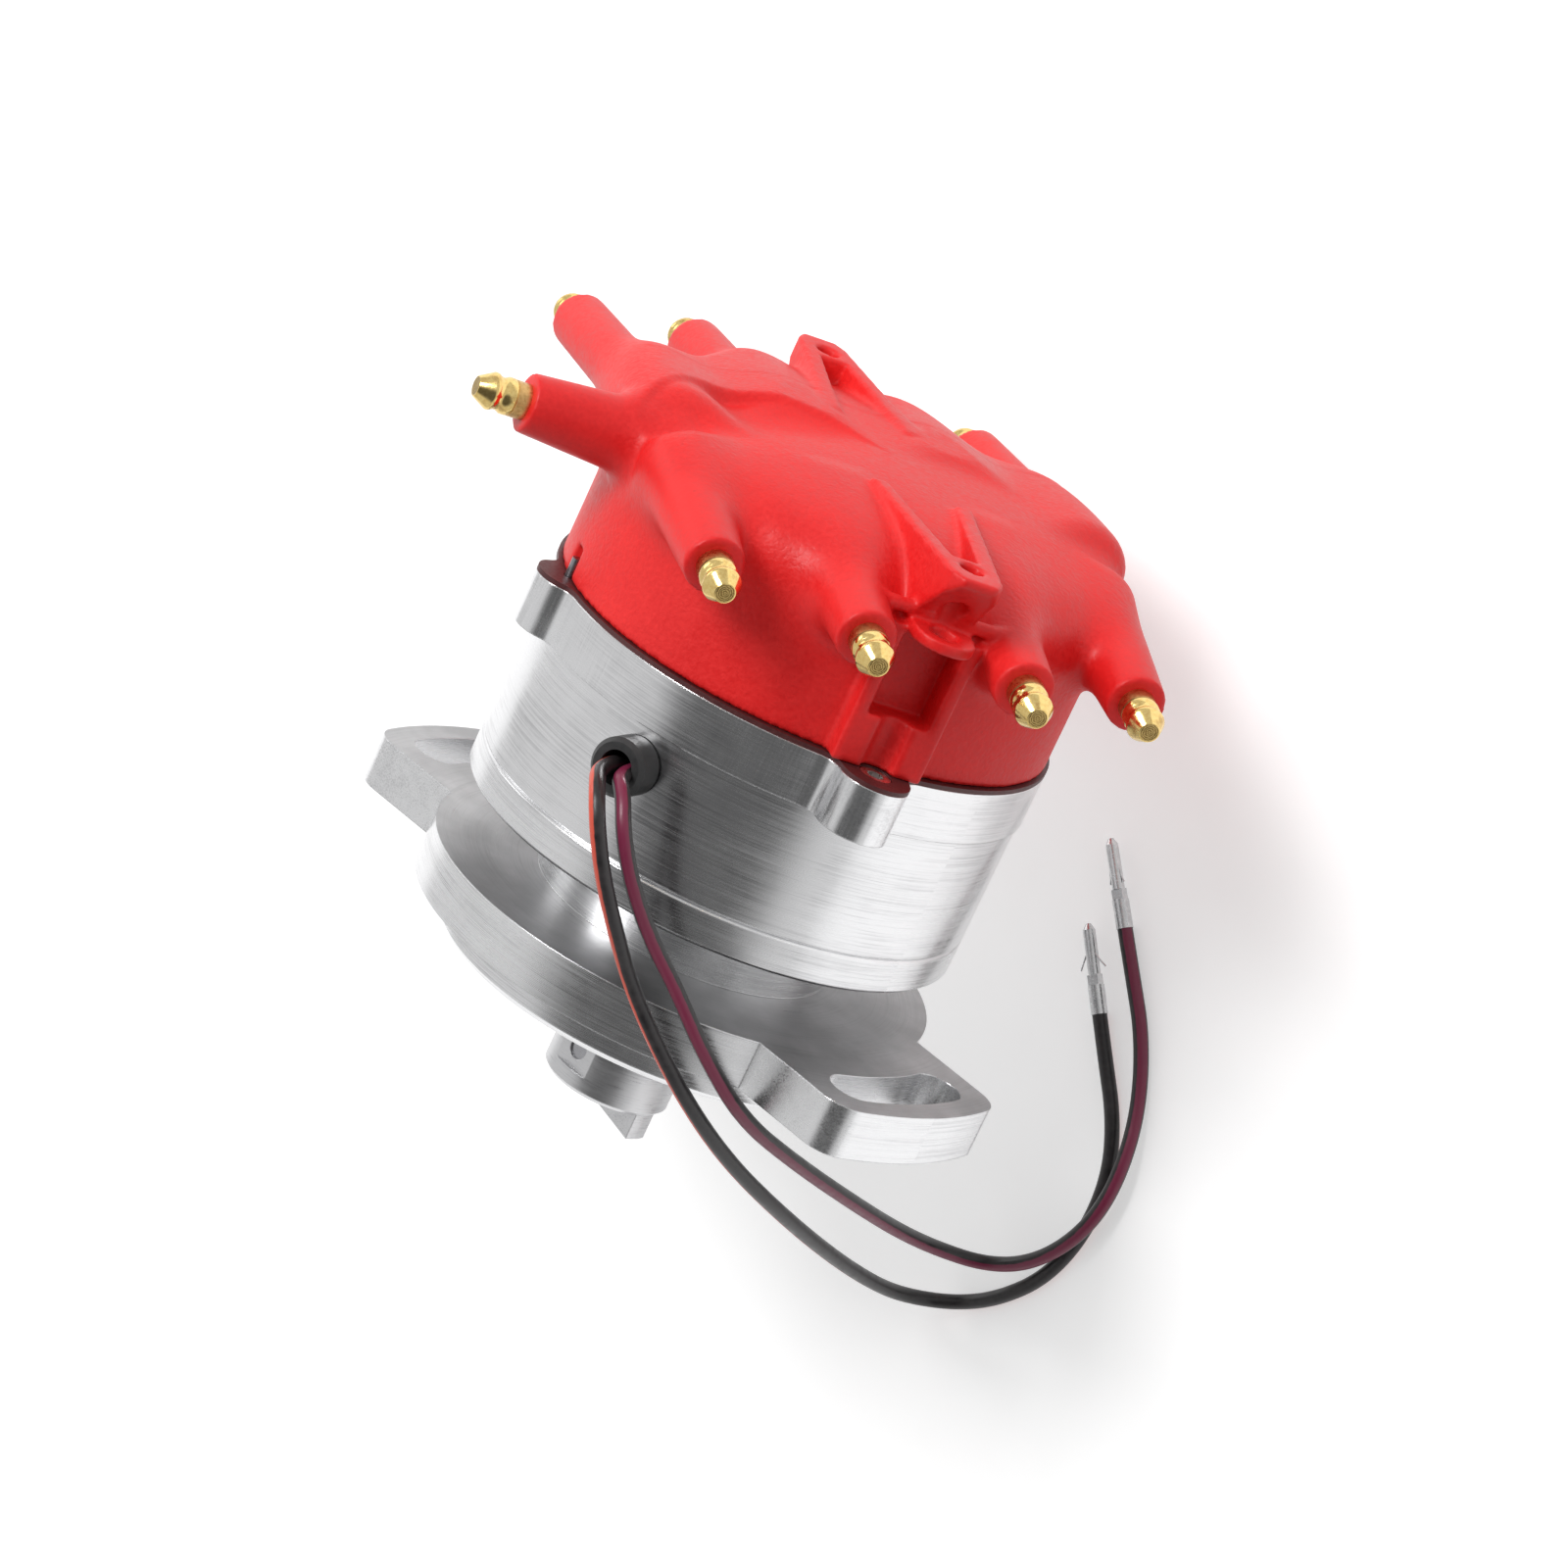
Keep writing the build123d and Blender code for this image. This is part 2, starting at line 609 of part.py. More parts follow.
thrust_washer = ring("thrust_washer", shaft_radius + assembly_clearance, collar_radius - 1.5,
                     collar_top + 0.1, collar_top + 0.1 + washer_thickness)
lower_bush = ring("lower_bush", shaft_radius + running_clearance, bush_radius, -pilot_depth, bush_top - 0.2)
oil_seal = ring("oil_seal", shaft_radius + running_clearance, seal_radius, seal_height,
                seal_height + seal_thickness - 0.2)
sleeve_washer = ring("sleeve_washer", shaft_radius + assembly_clearance, shoulder_radius,
                     shoulder_top, shoulder_top + washer_thickness)
shaft_clip = ring("shaft_clip", shaft_radius - 0.7, shaft_radius + 1.8, clip_height + 0.1,
                  clip_height + clip_thickness - 0.1)

# ball bearing in the neck
ball_circle = (shaft_radius + bearing_outer_radius) / 2
ball_radius = (bearing_outer_radius - shaft_radius) / 2 - bearing_race + 0.55
race_middle = bearing_height + bearing_width / 2
groove_radius = ball_radius + 0.08


def race(name, inner, outer):
    """One race of the bearing, with the groove that its balls run in."""
    with BuildPart() as piece:
        with BuildSketch(radial()):
            with Locations(((inner + outer) / 2, race_middle)):
                Rectangle(outer - inner, bearing_width - 0.2)
            with Locations((ball_circle, race_middle)):
                Circle(groove_radius, mode=Mode.SUBTRACT)
        revolve(axis=Axis.Y)
    save(piece, name)
    return piece


bearing_outer = race("bearing_outer", bearing_outer_radius - bearing_race, bearing_outer_radius)
bearing_inner = race("bearing_inner", shaft_radius, shaft_radius + bearing_race)
with BuildPart() as bearing_balls:
    with Locations(station(race_middle)):
        with PolarLocations(ball_circle, ball_count):
            Sphere(ball_radius)
save(bearing_balls, "bearing_balls")
with BuildPart() as bearing_cage:
    with BuildSketch(station(race_middle - ball_radius * 0.8)):
        Circle(ball_circle + 0.6)
        Circle(ball_circle - 0.6, mode=Mode.SUBTRACT)
    extrude(amount=1.6 * ball_radius)
    with Locations(station(race_middle)):
        with PolarLocations(ball_circle, ball_count):
            Sphere(ball_radius + 0.05, mode=Mode.SUBTRACT)
save(bearing_cage, "bearing_cage")

with BuildPart() as base_screws:
    with Locations(station(bowl_bottom - base_screw_grip + 1)):
        with PolarLocations(base_screw_circle, base_screw_count, start_angle=base_screw_angle):
            Cylinder(base_screw_radius, base_screw_grip - 1 + bowl_floor_height - bowl_bottom,
                     align=(Align.CENTER, Align.CENTER, Align.MIN))
    with BuildSketch(station(bowl_floor_height)):
        with PolarLocations(base_screw_circle, base_screw_count, start_angle=base_screw_angle):
            Circle(base_screw_head_radius)
    extrude(amount=base_screw_head)
    with BuildSketch(station(bowl_floor_height + base_screw_head)):
        with PolarLocations(base_screw_circle, base_screw_count, start_angle=base_screw_angle):
            RegularPolygon(2.0, 6, major_radius=False)
    extrude(amount=-2.2, mode=Mode.SUBTRACT)
save(base_screws, "base_screws")

# ---- trigger: sleeve, reluctor and weight plate turn together on the shaft ----
sleeve_radius = shaft_radius + sleeve_wall
with BuildPart() as trigger_sleeve:
    with BuildSketch(station(sleeve_bottom)):
        Circle(sleeve_radius)
        Circle(shaft_radius + running_clearance, mode=Mode.SUBTRACT)
    extrude(amount=plate_height + plate_thickness - sleeve_bottom)
save(trigger_sleeve, "trigger_sleeve")

with BuildPart() as reluctor:
    with BuildSketch(station(reluctor_height, pickup_angle)):
        Circle(reluctor_root_radius)
        with PolarLocations((reluctor_root_radius + reluctor_radius) / 2, reluctor_teeth):
            Rectangle(reluctor_radius - reluctor_root_radius + 1, tooth_width)
        Circle(reluctor_radius, mode=Mode.INTERSECT)
        Circle(sleeve_radius, mode=Mode.SUBTRACT)
    extrude(amount=reluctor_thickness)
save(reluctor, "reluctor")

with BuildPart() as weight_plate:
    with BuildSketch(station(plate_height, mechanism_angle)):
        Circle(plate_radius)
        Circle(sleeve_radius, mode=Mode.SUBTRACT)
        with PolarLocations(weight_pin_circle, 2):
            Circle(weight_pin_radius, mode=Mode.SUBTRACT)
    extrude(amount=plate_thickness)
    with BuildSketch(station(plate_height + plate_thickness, mechanism_angle + leg_turn)):
        with PolarLocations(leg_circle, 2):
            Circle(leg_radius)
    extrude(amount=rotor_base - plate_height - plate_thickness)
    with BuildSketch(station(rotor_base, mechanism_angle + leg_turn)):
        with PolarLocations(leg_circle, 2):
            Circle(rotor_screw_radius)
    extrude(amount=plate_height - rotor_base, mode=Mode.SUBTRACT)
save(weight_plate, "weight_plate")

with BuildPart() as weight_pins:
    with BuildSketch(station(plate_height, mechanism_angle)):
        with PolarLocations(weight_pin_circle, 2):
            Circle(weight_pin_radius)
    extrude(amount=plate_thickness + weight_lift + weight_thickness + 3.2)
save(weight_pins, "weight_pins")

weight_level = plate_height + plate_thickness + weight_lift
for number in (1, 2):
    with BuildPart() as weight:
        with BuildSketch(station(weight_level, mechanism_angle + 180 * (number - 1))) as outline:
            with Locations((weight_pin_circle, 0)):
                Circle(weight_eye_radius)
            with Locations(weight_middle):
                Circle(weight_middle_radius)
            make_hull()
            with BuildSketch(Plane.XY, mode=Mode.PRIVATE) as far_half:
                with Locations(weight_middle):
                    Circle(weight_middle_radius)
                with Locations(weight_end):
                    Circle(weight_end_radius)
                make_hull()
            add(far_half.sketch)
            with Locations((weight_pin_circle, 0)):
                Circle(weight_pin_radius + running_clearance, mode=Mode.SUBTRACT)
        extrude(amount=weight_thickness)
    save(weight, f"weight_{number}")

with BuildPart() as advance_cam:
    with BuildSketch(station(weight_level, mechanism_angle + cam_turn)):
        SlotOverall(cam_length, cam_width)
        Circle(shaft_radius + 2.2)
        Circle(shaft_radius, mode=Mode.SUBTRACT)
    extrude(amount=clip_height - weight_level)
    with BuildSketch(station(clip_height, mechanism_angle + spring_anchor_turn)):
        with PolarLocations(spring_anchor, 2):
            Circle(spring_post_radius)
    extrude(amount=rotor_base - 0.5 - clip_height)
save(advance_cam, "advance_cam")

# coil springs between the weight pins and the ends of the cam
pin_top = weight_level + weight_thickness + 0.4
for number in (1, 2):
    turn = mechanism_angle + 180 * (number - 1)
    with BuildPart() as advance_spring:
        start = at(weight_pin_circle, turn, pin_top + spring_coil_radius + spring_wire / 2)
        finish = at(spring_anchor, turn + spring_anchor_turn, pin_top + spring_coil_radius + spring_wire / 2)
        run = (finish - start).normalized()
        near_eye = start + run * (weight_pin_radius + spring_wire)
        length = (finish - start).length - 2 * (weight_pin_radius + spring_wire)
        with BuildLine():
            coil = Helix(length / spring_turns, length, spring_coil_radius, center=near_eye, direction=run)
        with BuildSketch(Plane(origin=coil @ 0, z_dir=coil % 0)):
            Circle(spring_wire / 2)
        sweep(path=coil.edges()[0], is_frenet=True)
    save(advance_spring, f"advance_spring_{number}")

# ---- rotor ----
with BuildPart() as rotor:
    with BuildSketch(station(rotor_base, mechanism_angle + leg_turn)):
        Circle(rotor_radius + 3.2)
    extrude(amount=3)
    with BuildSketch(station(rotor_base + 3, rotor_angle)):
        Circle(rotor_hub_radius)
        with Locations((rotor_radius / 2, 0)):
            Rectangle(rotor_radius, rotor_arm_width)
    extrude(amount=rotor_top - rotor_base - 3)
    with BuildSketch(station(rotor_base, rotor_angle)):
        Circle(rotor_hub_radius - 3)
    extrude(amount=rotor_top - rotor_base - 4, mode=Mode.SUBTRACT)
    with BuildSketch(station(rotor_base, mechanism_angle + leg_turn)):
        with PolarLocations(leg_circle, 2):
            Circle(rotor_screw_radius + assembly_clearance)
    extrude(amount=3, mode=Mode.SUBTRACT)
    with BuildSketch(station(rotor_top, rotor_angle)):
        with Locations((rotor_screw_offset, 0)):
            Circle(rotor_screw_radius)
    extrude(amount=-5, mode=Mode.SUBTRACT)
save(rotor, "rotor")

with BuildPart() as rotor_blade:
    with BuildSketch(station(rotor_top, rotor_angle)):
        with Locations((blade_reach / 2 - 2.5, 0)):
            Rectangle(blade_reach + 5, blade_width)
        Circle(blade_reach, mode=Mode.INTERSECT)
        with Locations((rotor_screw_offset, 0)):
            Circle(rotor_screw_radius + assembly_clearance, mode=Mode.SUBTRACT)
    extrude(amount=blade_thickness)
save(rotor_blade, "rotor_blade")


def pan_screws(name, places, radius, grip, head_radius, head):
    """Cross-recessed screws, one at each plane, which lies under the head."""
    with BuildPart() as piece:
        for place in places:
            with BuildSketch(place):
                Circle(radius)
            extrude(amount=-grip)
            with BuildSketch(place):
                Circle(head_radius)
            extrude(amount=head)
            with BuildSketch(place.offset(head)):
                Rectangle(1.3 * head_radius, 0.28 * head_radius)
                Rectangle(0.28 * head_radius, 1.3 * head_radius)
            extrude(amount=-0.6 * head, mode=Mode.SUBTRACT)
    save(piece, name)


pan_screws("rotor_screws", [Plane(origin=at(leg_circle, mechanism_angle + leg_turn + turn, rotor_base + 3),
                                  z_dir=(0, -1, 0)) for turn in (0, 180)], rotor_screw_radius, 9, 2.8, 1.8)
pan_screws("blade_screw", [Plane(origin=at(rotor_screw_offset, rotor_angle, rotor_top + blade_thickness),
                                 z_dir=(0, -1, 0))], rotor_screw_radius, 6, 2.6, 1.5)

# carbon brush that carries the coil's current on to the rotor blade, and its spring
with BuildPart() as carbon_brush:
    with BuildSketch(station(rotor_top + blade_thickness + 0.05)):
        Circle(brush_radius)
    extrude(amount=brush_length)
save(carbon_brush, "carbon_brush")
with BuildPart() as brush_spring:
    brush_back = rotor_top + blade_thickness + 0.05 + brush_length
    with BuildLine():
        coil = Helix((brush_seat - brush_back - spring_wire) / 3, brush_seat - brush_back - spring_wire, 1.7,
                     center=at(0, 0, brush_back + spring_wire / 2), direction=(0, -1, 0))
    with BuildSketch(Plane(origin=coil @ 0, z_dir=coil % 0)):
        Circle(spring_wire / 2)
    sweep(path=coil.edges()[0], is_frenet=True)
save(brush_spring, "brush_spring")

# ---- magnetic pickup, on a bracket on the bowl's floor ----
with BuildPart() as pickup_bracket:
    with BuildSketch(station(bowl_floor_height, pickup_angle)):
        with Locations((pickup_foot_radius, 0)):
            Rectangle(9, pickup_screw_pitch + 8)
            with GridLocations(0, pickup_screw_pitch, 1, 2):
                Circle(pickup_screw_radius + assembly_clearance, mode=Mode.SUBTRACT)
        Circle(bowl_bore - 3, mode=Mode.INTERSECT)
    extrude(amount=2)
    with BuildSketch(station(bowl_floor_height + 2, pickup_angle)):
        with Locations((pickup_body_end + 1, 0)):
            Rectangle(2, pickup_width - 6)
    extrude(amount=pickup_level + 4 - bowl_floor_height - 2)
save(pickup_bracket, "pickup_bracket")

pickup_tip = reluctor_radius + pickup_gap
with BuildPart() as pickup_pole:
    with BuildSketch(Plane(origin=at(pickup_tip, pickup_angle, pickup_level), x_dir=(0, -1, 0),
                           z_dir=outward(pickup_angle))):
        Rectangle(4.5, tooth_width + 0.6)
    extrude(amount=pickup_body_start + 6 - pickup_tip)
save(pickup_pole, "pickup_pole")
with BuildPart() as pickup_magnet:
    with BuildSketch(Plane(origin=at(pickup_body_start + 6, pickup_angle, pickup_level), x_dir=(0, -1, 0),
                           z_dir=outward(pickup_angle))):
        Rectangle(6.5, 6.5)
    extrude(amount=3)
save(pickup_magnet, "pickup_magnet")
with BuildPart() as pickup_body:
    with BuildSketch(Plane(origin=at(pickup_body_start, pickup_angle, pickup_level), x_dir=(0, -1, 0),
                           z_dir=outward(pickup_angle))):
        RectangleRounded(13, pickup_width, 2.5)
    extrude(amount=pickup_body_end - pickup_body_start)
    add(pickup_pole.part, mode=Mode.SUBTRACT)
    add(pickup_magnet.part, mode=Mode.SUBTRACT)
save(pickup_body, "pickup_body")
pickup_screw_turn = degrees(atan2(pickup_screw_pitch / 2, pickup_foot_radius))
pan_screws("pickup_screws", [Plane(origin=at(hypot(pickup_foot_radius, pickup_screw_pitch / 2),
                                             pickup_angle + turn * pickup_screw_turn, bowl_floor_height + 2),
                                   z_dir=(0, -1, 0)) for turn in (-1, 1)], pickup_screw_radius, 5.5, 3.0, 2.0)

# ---- grommet and leads ----
grommet_plane = Plane(origin=at(0, pickup_angle, grommet_height), x_dir=(-sin(radians(pickup_angle)), 0,
                      cos(radians(pickup_angle))), z_dir=outward(pickup_angle))
with BuildPart() as wire_grommet:
    with BuildSketch(grommet_plane.offset(bowl_bore - 1.5)):
        Circle(grommet_radius - 0.6)
    extrude(amount=1.2)
    with BuildSketch(grommet_plane.offset(bowl_bore - 0.5)):
        Circle(grommet_neck_radius)
    extrude(amount=grommet_face - bowl_bore)
    with BuildSketch(grommet_plane.offset(bowl_radius + 0.3)) as flange:
        Circle(grommet_radius)
    extrude(amount=grommet_face - bowl_radius - 0.3)
    chamfer(wire_grommet.faces().sort_by(Axis((0, 0, 0), outward(pickup_angle)))[-1].edges(), 0.8)
    with BuildSketch(grommet_plane.offset(grommet_face)):
        Circle(grommet_hole_radius)
    extrude(amount=-grommet_hole_depth, mode=Mode.SUBTRACT)
save(wire_grommet, "wire_grommet")


def rounded_route(points):
    """Corner radii of a lead's route, as large as its runs allow."""
    radii = []
    for before, corner, after in zip(points, points[1:], points[2:]):
        first, second = corner - before, after - corner
        half_turn = radians(first.get_angle(second)) / 2
        radii.append(0.45 * min(first.length, second.length) / tan(half_turn))
    return radii


on_bench = bench_height + lead_radius
crossing = on_bench + 2 * lead_radius + 0.4
lead_starts = {"lead_1": 10.0, "lead_2": 8.0}       # length of the first run, out of the grommet
lead_routes = {
    "lead_1": [(-17.8, -45.3, 62.2), (-22.3, -40.3, 63.5), (-25.6, -32.3, 60.5), (-28.6, -23.1, 54.5),
               (-31.2, -13.9, 47.5), (-36.8, -6.3, 42.3), (-42.8, 3.2, 33.5), (-45.4, 13.8, 18.6), (-45.7, 25, -2.5),
               (-39.9, 39.2, -32.8), (-36.8, 48.2, -55), (-37.3, 50.8, -66), (-43.2, 48.6, on_bench),
               (-51.2, 42.2, on_bench), (-58.3, 32.8, on_bench), (-61.5, 21, on_bench), (-60.7, 8.9, on_bench),
               (-55.8, -0.8, on_bench), (-48.5, -9, on_bench), (-43.1, -15.3, on_bench)],
    "lead_2": [(-20, -45.2, 57.4), (-24.7, -40, 58.9), (-28.1, -31.7, 54.8), (-31.8, -23, 48), (-36.6, -16.2, 42),
               (-42.7, -7, 35.2), (-47.7, 3.6, 23.3), (-47.2, 13.2, 2.3), (-44.9, 23.5, -22.7), (-41.5, 32.5, -45.4),
               (-41, 37.4, -61), (-46.8, 37.4, crossing), (-55.2, 31.9, crossing), (-61.4, 23.5, crossing),
               (-64.6, 13.9, crossing), (-63.8, 3.7, crossing - 1), (-59.5, -6.4, on_bench),
               (-53.3, -17.4, on_bench), (-46, -25.2, on_bench), (-39.8, -31.9, on_bench)],
}
lead_ends = {}
for name, side in (("lead_1", -1), ("lead_2", 1)):
    root = grommet_plane.offset(grommet_face - grommet_hole_depth)
    route = [root.origin + root.x_dir * side * lead_offset]
    route += [route[0] + outward(pickup_angle) * lead_starts[name]]
    route += [Vector(*point) for point in lead_routes[name]]
    radii = rounded_route(route)
    print(name, "corner radii", [round(radius, 1) for radius in radii])
    with BuildPart() as lead:
        with BuildLine() as path:
            FilletPolyline(*route, radius=radii)
        with BuildSketch(Plane(origin=route[0], z_dir=route[1] - route[0])):
            Circle(lead_radius)
        sweep(path=path.wires()[0])
    print(name, "length", round(path.wires()[0].length, 1), "volume ratio",
          round(lead.part.volume / (pi * lead_radius ** 2 * path.wires()[0].length), 4))
    save(lead, name)
    lead_ends[name] = (route[-1], (route[-1] - route[-2]).normalized())

# pins crimped on the leads
for number in (1, 2):
    end, along = lead_ends[f"lead_{number}"]
    pin_plane = Plane(origin=end, x_dir=(0, 0, 1), z_dir=along)
    with BuildPart() as lead_pin:
        with Locations(pin_plane):
            Cylinder(lead_radius + 0.15, 5.5, align=(Align.CENTER, Align.CENTER, Align.MIN))
        with BuildSketch(pin_plane.offset(5.5)):
            Rectangle(1.6, 2.4)
        extrude(amount=2)
        with Locations(pin_plane.offset(7.4)):
            Cylinder(pin_contact_radius, pin_contact_length, align=(Align.CENTER, Align.CENTER, Align.MIN))
        with Locations(pin_plane.offset(7.4 + pin_contact_length)):
            Cone(pin_contact_radius, 0.5, 1.2, align=(Align.CENTER, Align.CENTER, Align.MIN))
    save(lead_pin, f"lead_pin_{number}")
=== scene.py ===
import json
import math
from functools import reduce

import bmesh
import bpy
import numpy as np
import openvdb
from mathutils import Matrix, Vector


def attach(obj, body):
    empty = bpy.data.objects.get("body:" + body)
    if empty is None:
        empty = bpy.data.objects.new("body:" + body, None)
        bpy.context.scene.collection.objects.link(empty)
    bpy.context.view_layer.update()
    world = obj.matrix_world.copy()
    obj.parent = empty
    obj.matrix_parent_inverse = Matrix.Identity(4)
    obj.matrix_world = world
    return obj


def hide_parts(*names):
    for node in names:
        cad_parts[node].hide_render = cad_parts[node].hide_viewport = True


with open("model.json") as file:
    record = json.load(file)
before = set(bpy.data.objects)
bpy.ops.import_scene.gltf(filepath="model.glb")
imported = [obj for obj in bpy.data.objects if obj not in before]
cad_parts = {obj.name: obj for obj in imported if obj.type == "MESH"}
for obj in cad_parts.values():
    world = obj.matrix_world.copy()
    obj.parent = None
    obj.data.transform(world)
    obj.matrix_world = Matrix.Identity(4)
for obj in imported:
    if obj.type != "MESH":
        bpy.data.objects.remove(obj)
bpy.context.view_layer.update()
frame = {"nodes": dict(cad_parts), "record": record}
nodes = frame["nodes"]
scene = bpy.context.scene
MM = 0.001


def show(name, data):
    """Puts new data into the scene as an object of that name."""
    piece = bpy.data.objects.new(name, data)
    scene.collection.objects.link(piece)
    return piece


# ---------------------------------------------------------------- camera
SENSOR_WIDTH, FOCAL_LENGTH = 36, 157.5
CAMERA_PLACE = (-0.698362, -0.419727, 0.943782)
CAMERA_RIGHT = Vector((-0.6533, -0.4047, -0.6399))
CAMERA_DOWN = Vector((-0.5075, 0.8612, -0.0266))
CAMERA_AHEAD = Vector((0.5618, 0.3074, -0.768))


def add_camera():
    data = bpy.data.cameras.new("camera")
    data.sensor_width = SENSOR_WIDTH
    data.lens = FOCAL_LENGTH
    data.clip_start, data.clip_end = 0.05, 20
    camera = show("camera", data)
    turn = Matrix((CAMERA_RIGHT, -CAMERA_DOWN, -CAMERA_AHEAD)).transposed().to_quaternion()
    camera.matrix_world = Matrix.Translation(CAMERA_PLACE) @ turn.to_matrix().to_4x4()
    scene.camera = camera


add_camera()


# ---------------------------------------------------------------- material helpers
class Nodes:
    """A small builder for node materials. A value is either a node's output or a plain number."""

    def __init__(self, name, **values):
        self.material = bpy.data.materials.new(name)
        self.material.use_nodes = True
        self.tree = self.material.node_tree
        self.shader = self.tree.nodes["Principled BSDF"]
        self.place = self.add("ShaderNodeTexCoord").outputs["Object"]
        for key, value in values.items():
            self.shader.inputs[key.replace("_", " ")].default_value = value

    def add(self, kind, **settings):
        node = self.tree.nodes.new(kind)
        for key, value in settings.items():
            setattr(node, key, value)
        return node

    def link(self, source, target):
        self.tree.links.new(source, target)

    def feed(self, slot, value):
        if isinstance(value, bpy.types.NodeSocket):
            self.link(value, slot)
        else:
            slot.default_value = value

    def math(self, operation, a, b=0.0):
        node = self.add("ShaderNodeMath", operation=operation)
        self.feed(node.inputs[0], a)
        self.feed(node.inputs[1], b)
        return node.outputs[0]

    def plus(self, *values):
        return reduce(lambda a, b: self.math("ADD", a, b), values)

    def times(self, a, b):
        return self.math("MULTIPLY", a, b)

    def weighed(self, *pairs):
        """The sum of each value times its weight."""
        return self.plus(*[self.times(value, weight) for value, weight in pairs])

    def apart(self, vector):
        node = self.add("ShaderNodeSeparateXYZ")
        self.link(vector, node.inputs[0])
        return node.outputs

    def joined(self, *values):
        node = self.add("ShaderNodeCombineXYZ")
        for slot, value in zip(node.inputs, values):
            self.feed(slot, value)
        return node.outputs[0]

    def noise(self, scale, detail=3.0, roughness=0.55, vector=None, distortion=0.0):
        node = self.add("ShaderNodeTexNoise")
        node.inputs["Scale"].default_value = scale
        node.inputs["Detail"].default_value = detail
        node.inputs["Roughness"].default_value = roughness
        node.inputs["Distortion"].default_value = distortion
        self.link(vector or self.place, node.inputs["Vector"])
        return node.outputs["Fac"]

    def ramp(self, value, *stops):
        node = self.add("ShaderNodeValToRGB")
        ramp = node.color_ramp
        while len(ramp.elements) < len(stops):
            ramp.elements.new(0.5)
        for element, (place, colour) in zip(ramp.elements, stops):
            element.position = place
            element.color = (*colour, 1)
        self.link(value, node.inputs["Fac"])
        return node.outputs["Color"]

    def spread(self, value, low, high, start=0.0, end=1.0):
        """The value's range from start to end, mapped to low and high."""
        node = self.add("ShaderNodeMapRange")
        limits = {"From Min": start, "From Max": end, "To Min": low, "To Max": high}
        for key, number in limits.items():
            node.inputs[key].default_value = number
        self.link(value, node.inputs["Value"])
        return node.outputs["Result"]

    def mix(self, factor, first, second, blend="MIX"):
        node = self.add("ShaderNodeMix", data_type="RGBA", blend_type=blend)
        self.feed(node.inputs["Factor"], factor)
        for slot, value in ((node.inputs[6], first), (node.inputs[7], second)):
            self.feed(slot, (*value, 1) if isinstance(value, tuple) else value)
        return node.outputs[2]

    def soft_edges(self, radius):
        node = self.add("ShaderNodeBevel", samples=4)
        node.inputs["Radius"].default_value = radius
        return node.outputs[0]

    def colour(self, source):
        self.link(source, self.shader.inputs["Base Color"])

    def roughness(self, source):
        self.link(source, self.shader.inputs["Roughness"])

    def bump(self, height, distance, strength=1.0, under=None):
        node = self.add("ShaderNodeBump")
        node.inputs["Strength"].default_value = strength
        node.inputs["Distance"].default_value = distance
        self.link(height, node.inputs["Height"])
        if under is not None:
            self.link(under, node.inputs["Normal"])
        self.link(node.outputs["Normal"], self.shader.inputs["Normal"])


LATHE_TURN = 0.0006      # metres of noise to a radian of turn, so that lines run round the axis
RIM_PLACE = -0.0533      # the bowl is milled on the cap side of this Y


def lathe_place(n):
    """Distance from the shaft axis, place along it, and angle round it."""
    x, along, z = n.apart(n.place)
    radius = n.math("SQRT", n.plus(n.times(x, x), n.times(z, z)))
    return radius, along, n.math("ARCTAN2", z, x)


def metal_colour(n, tone, light, dark):
    bright = tuple(min(1.0, c * 1.06) for c in light)
    return n.ramp(tone, (0.36, dark), (0.50, light), (0.66, bright))


def metal_roughness(n, grain, cloud, rough):
    return n.plus(n.spread(grain, rough - 0.05, rough + 0.09, 0.3, 0.7),
                  n.spread(cloud, -0.04, 0.06, 0.35, 0.7))


def turned_metal(name, light, dark, rough, face=1.0):
    """Metal turned in a lathe: fine lines round the shaft axis, softer bands, and cloudy patches.

    The faces square to the shaft are a little rougher, and, where face is below 1, carry patchy
    painted shade that stands in for the dark reflections they catch."""
    n = Nodes(name, Metallic=1.0)
    radius, along, turn = lathe_place(n)
    lathe = n.joined(radius, along, n.times(turn, LATHE_TURN))
    fine = n.noise(3200.0, 3.0, 0.75, lathe)
    wide = n.noise(384.0, 2.0, 0.5, lathe)
    cloud = n.noise(45.0, 4.0, 0.6)
    tone = n.weighed((fine, 0.56), (wide, 0.16), (cloud, 0.28))
    across = n.apart(n.add("ShaderNodeTexCoord").outputs["Normal"])[1]
    square = n.spread(n.math("ABSOLUTE", across), 0.0, 1.0, 0.8, 0.95)
    # painted shade: on faces square to the shaft the colour is multiplied towards face, in patches
    stain_and_painted_shade = n.times(square, n.spread(n.noise(60.0, 4.0, 0.6), 0.75, 1.0, 0.35, 0.6))
    n.colour(n.mix(stain_and_painted_shade, metal_colour(n, tone, light, dark), (face, face, face), "MULTIPLY"))
    n.roughness(n.plus(metal_roughness(n, fine, cloud, rough), n.times(square, 0.10)))
    n.bump(fine, 0.00001, 0.6, n.soft_edges(0.00035))
    return n.material


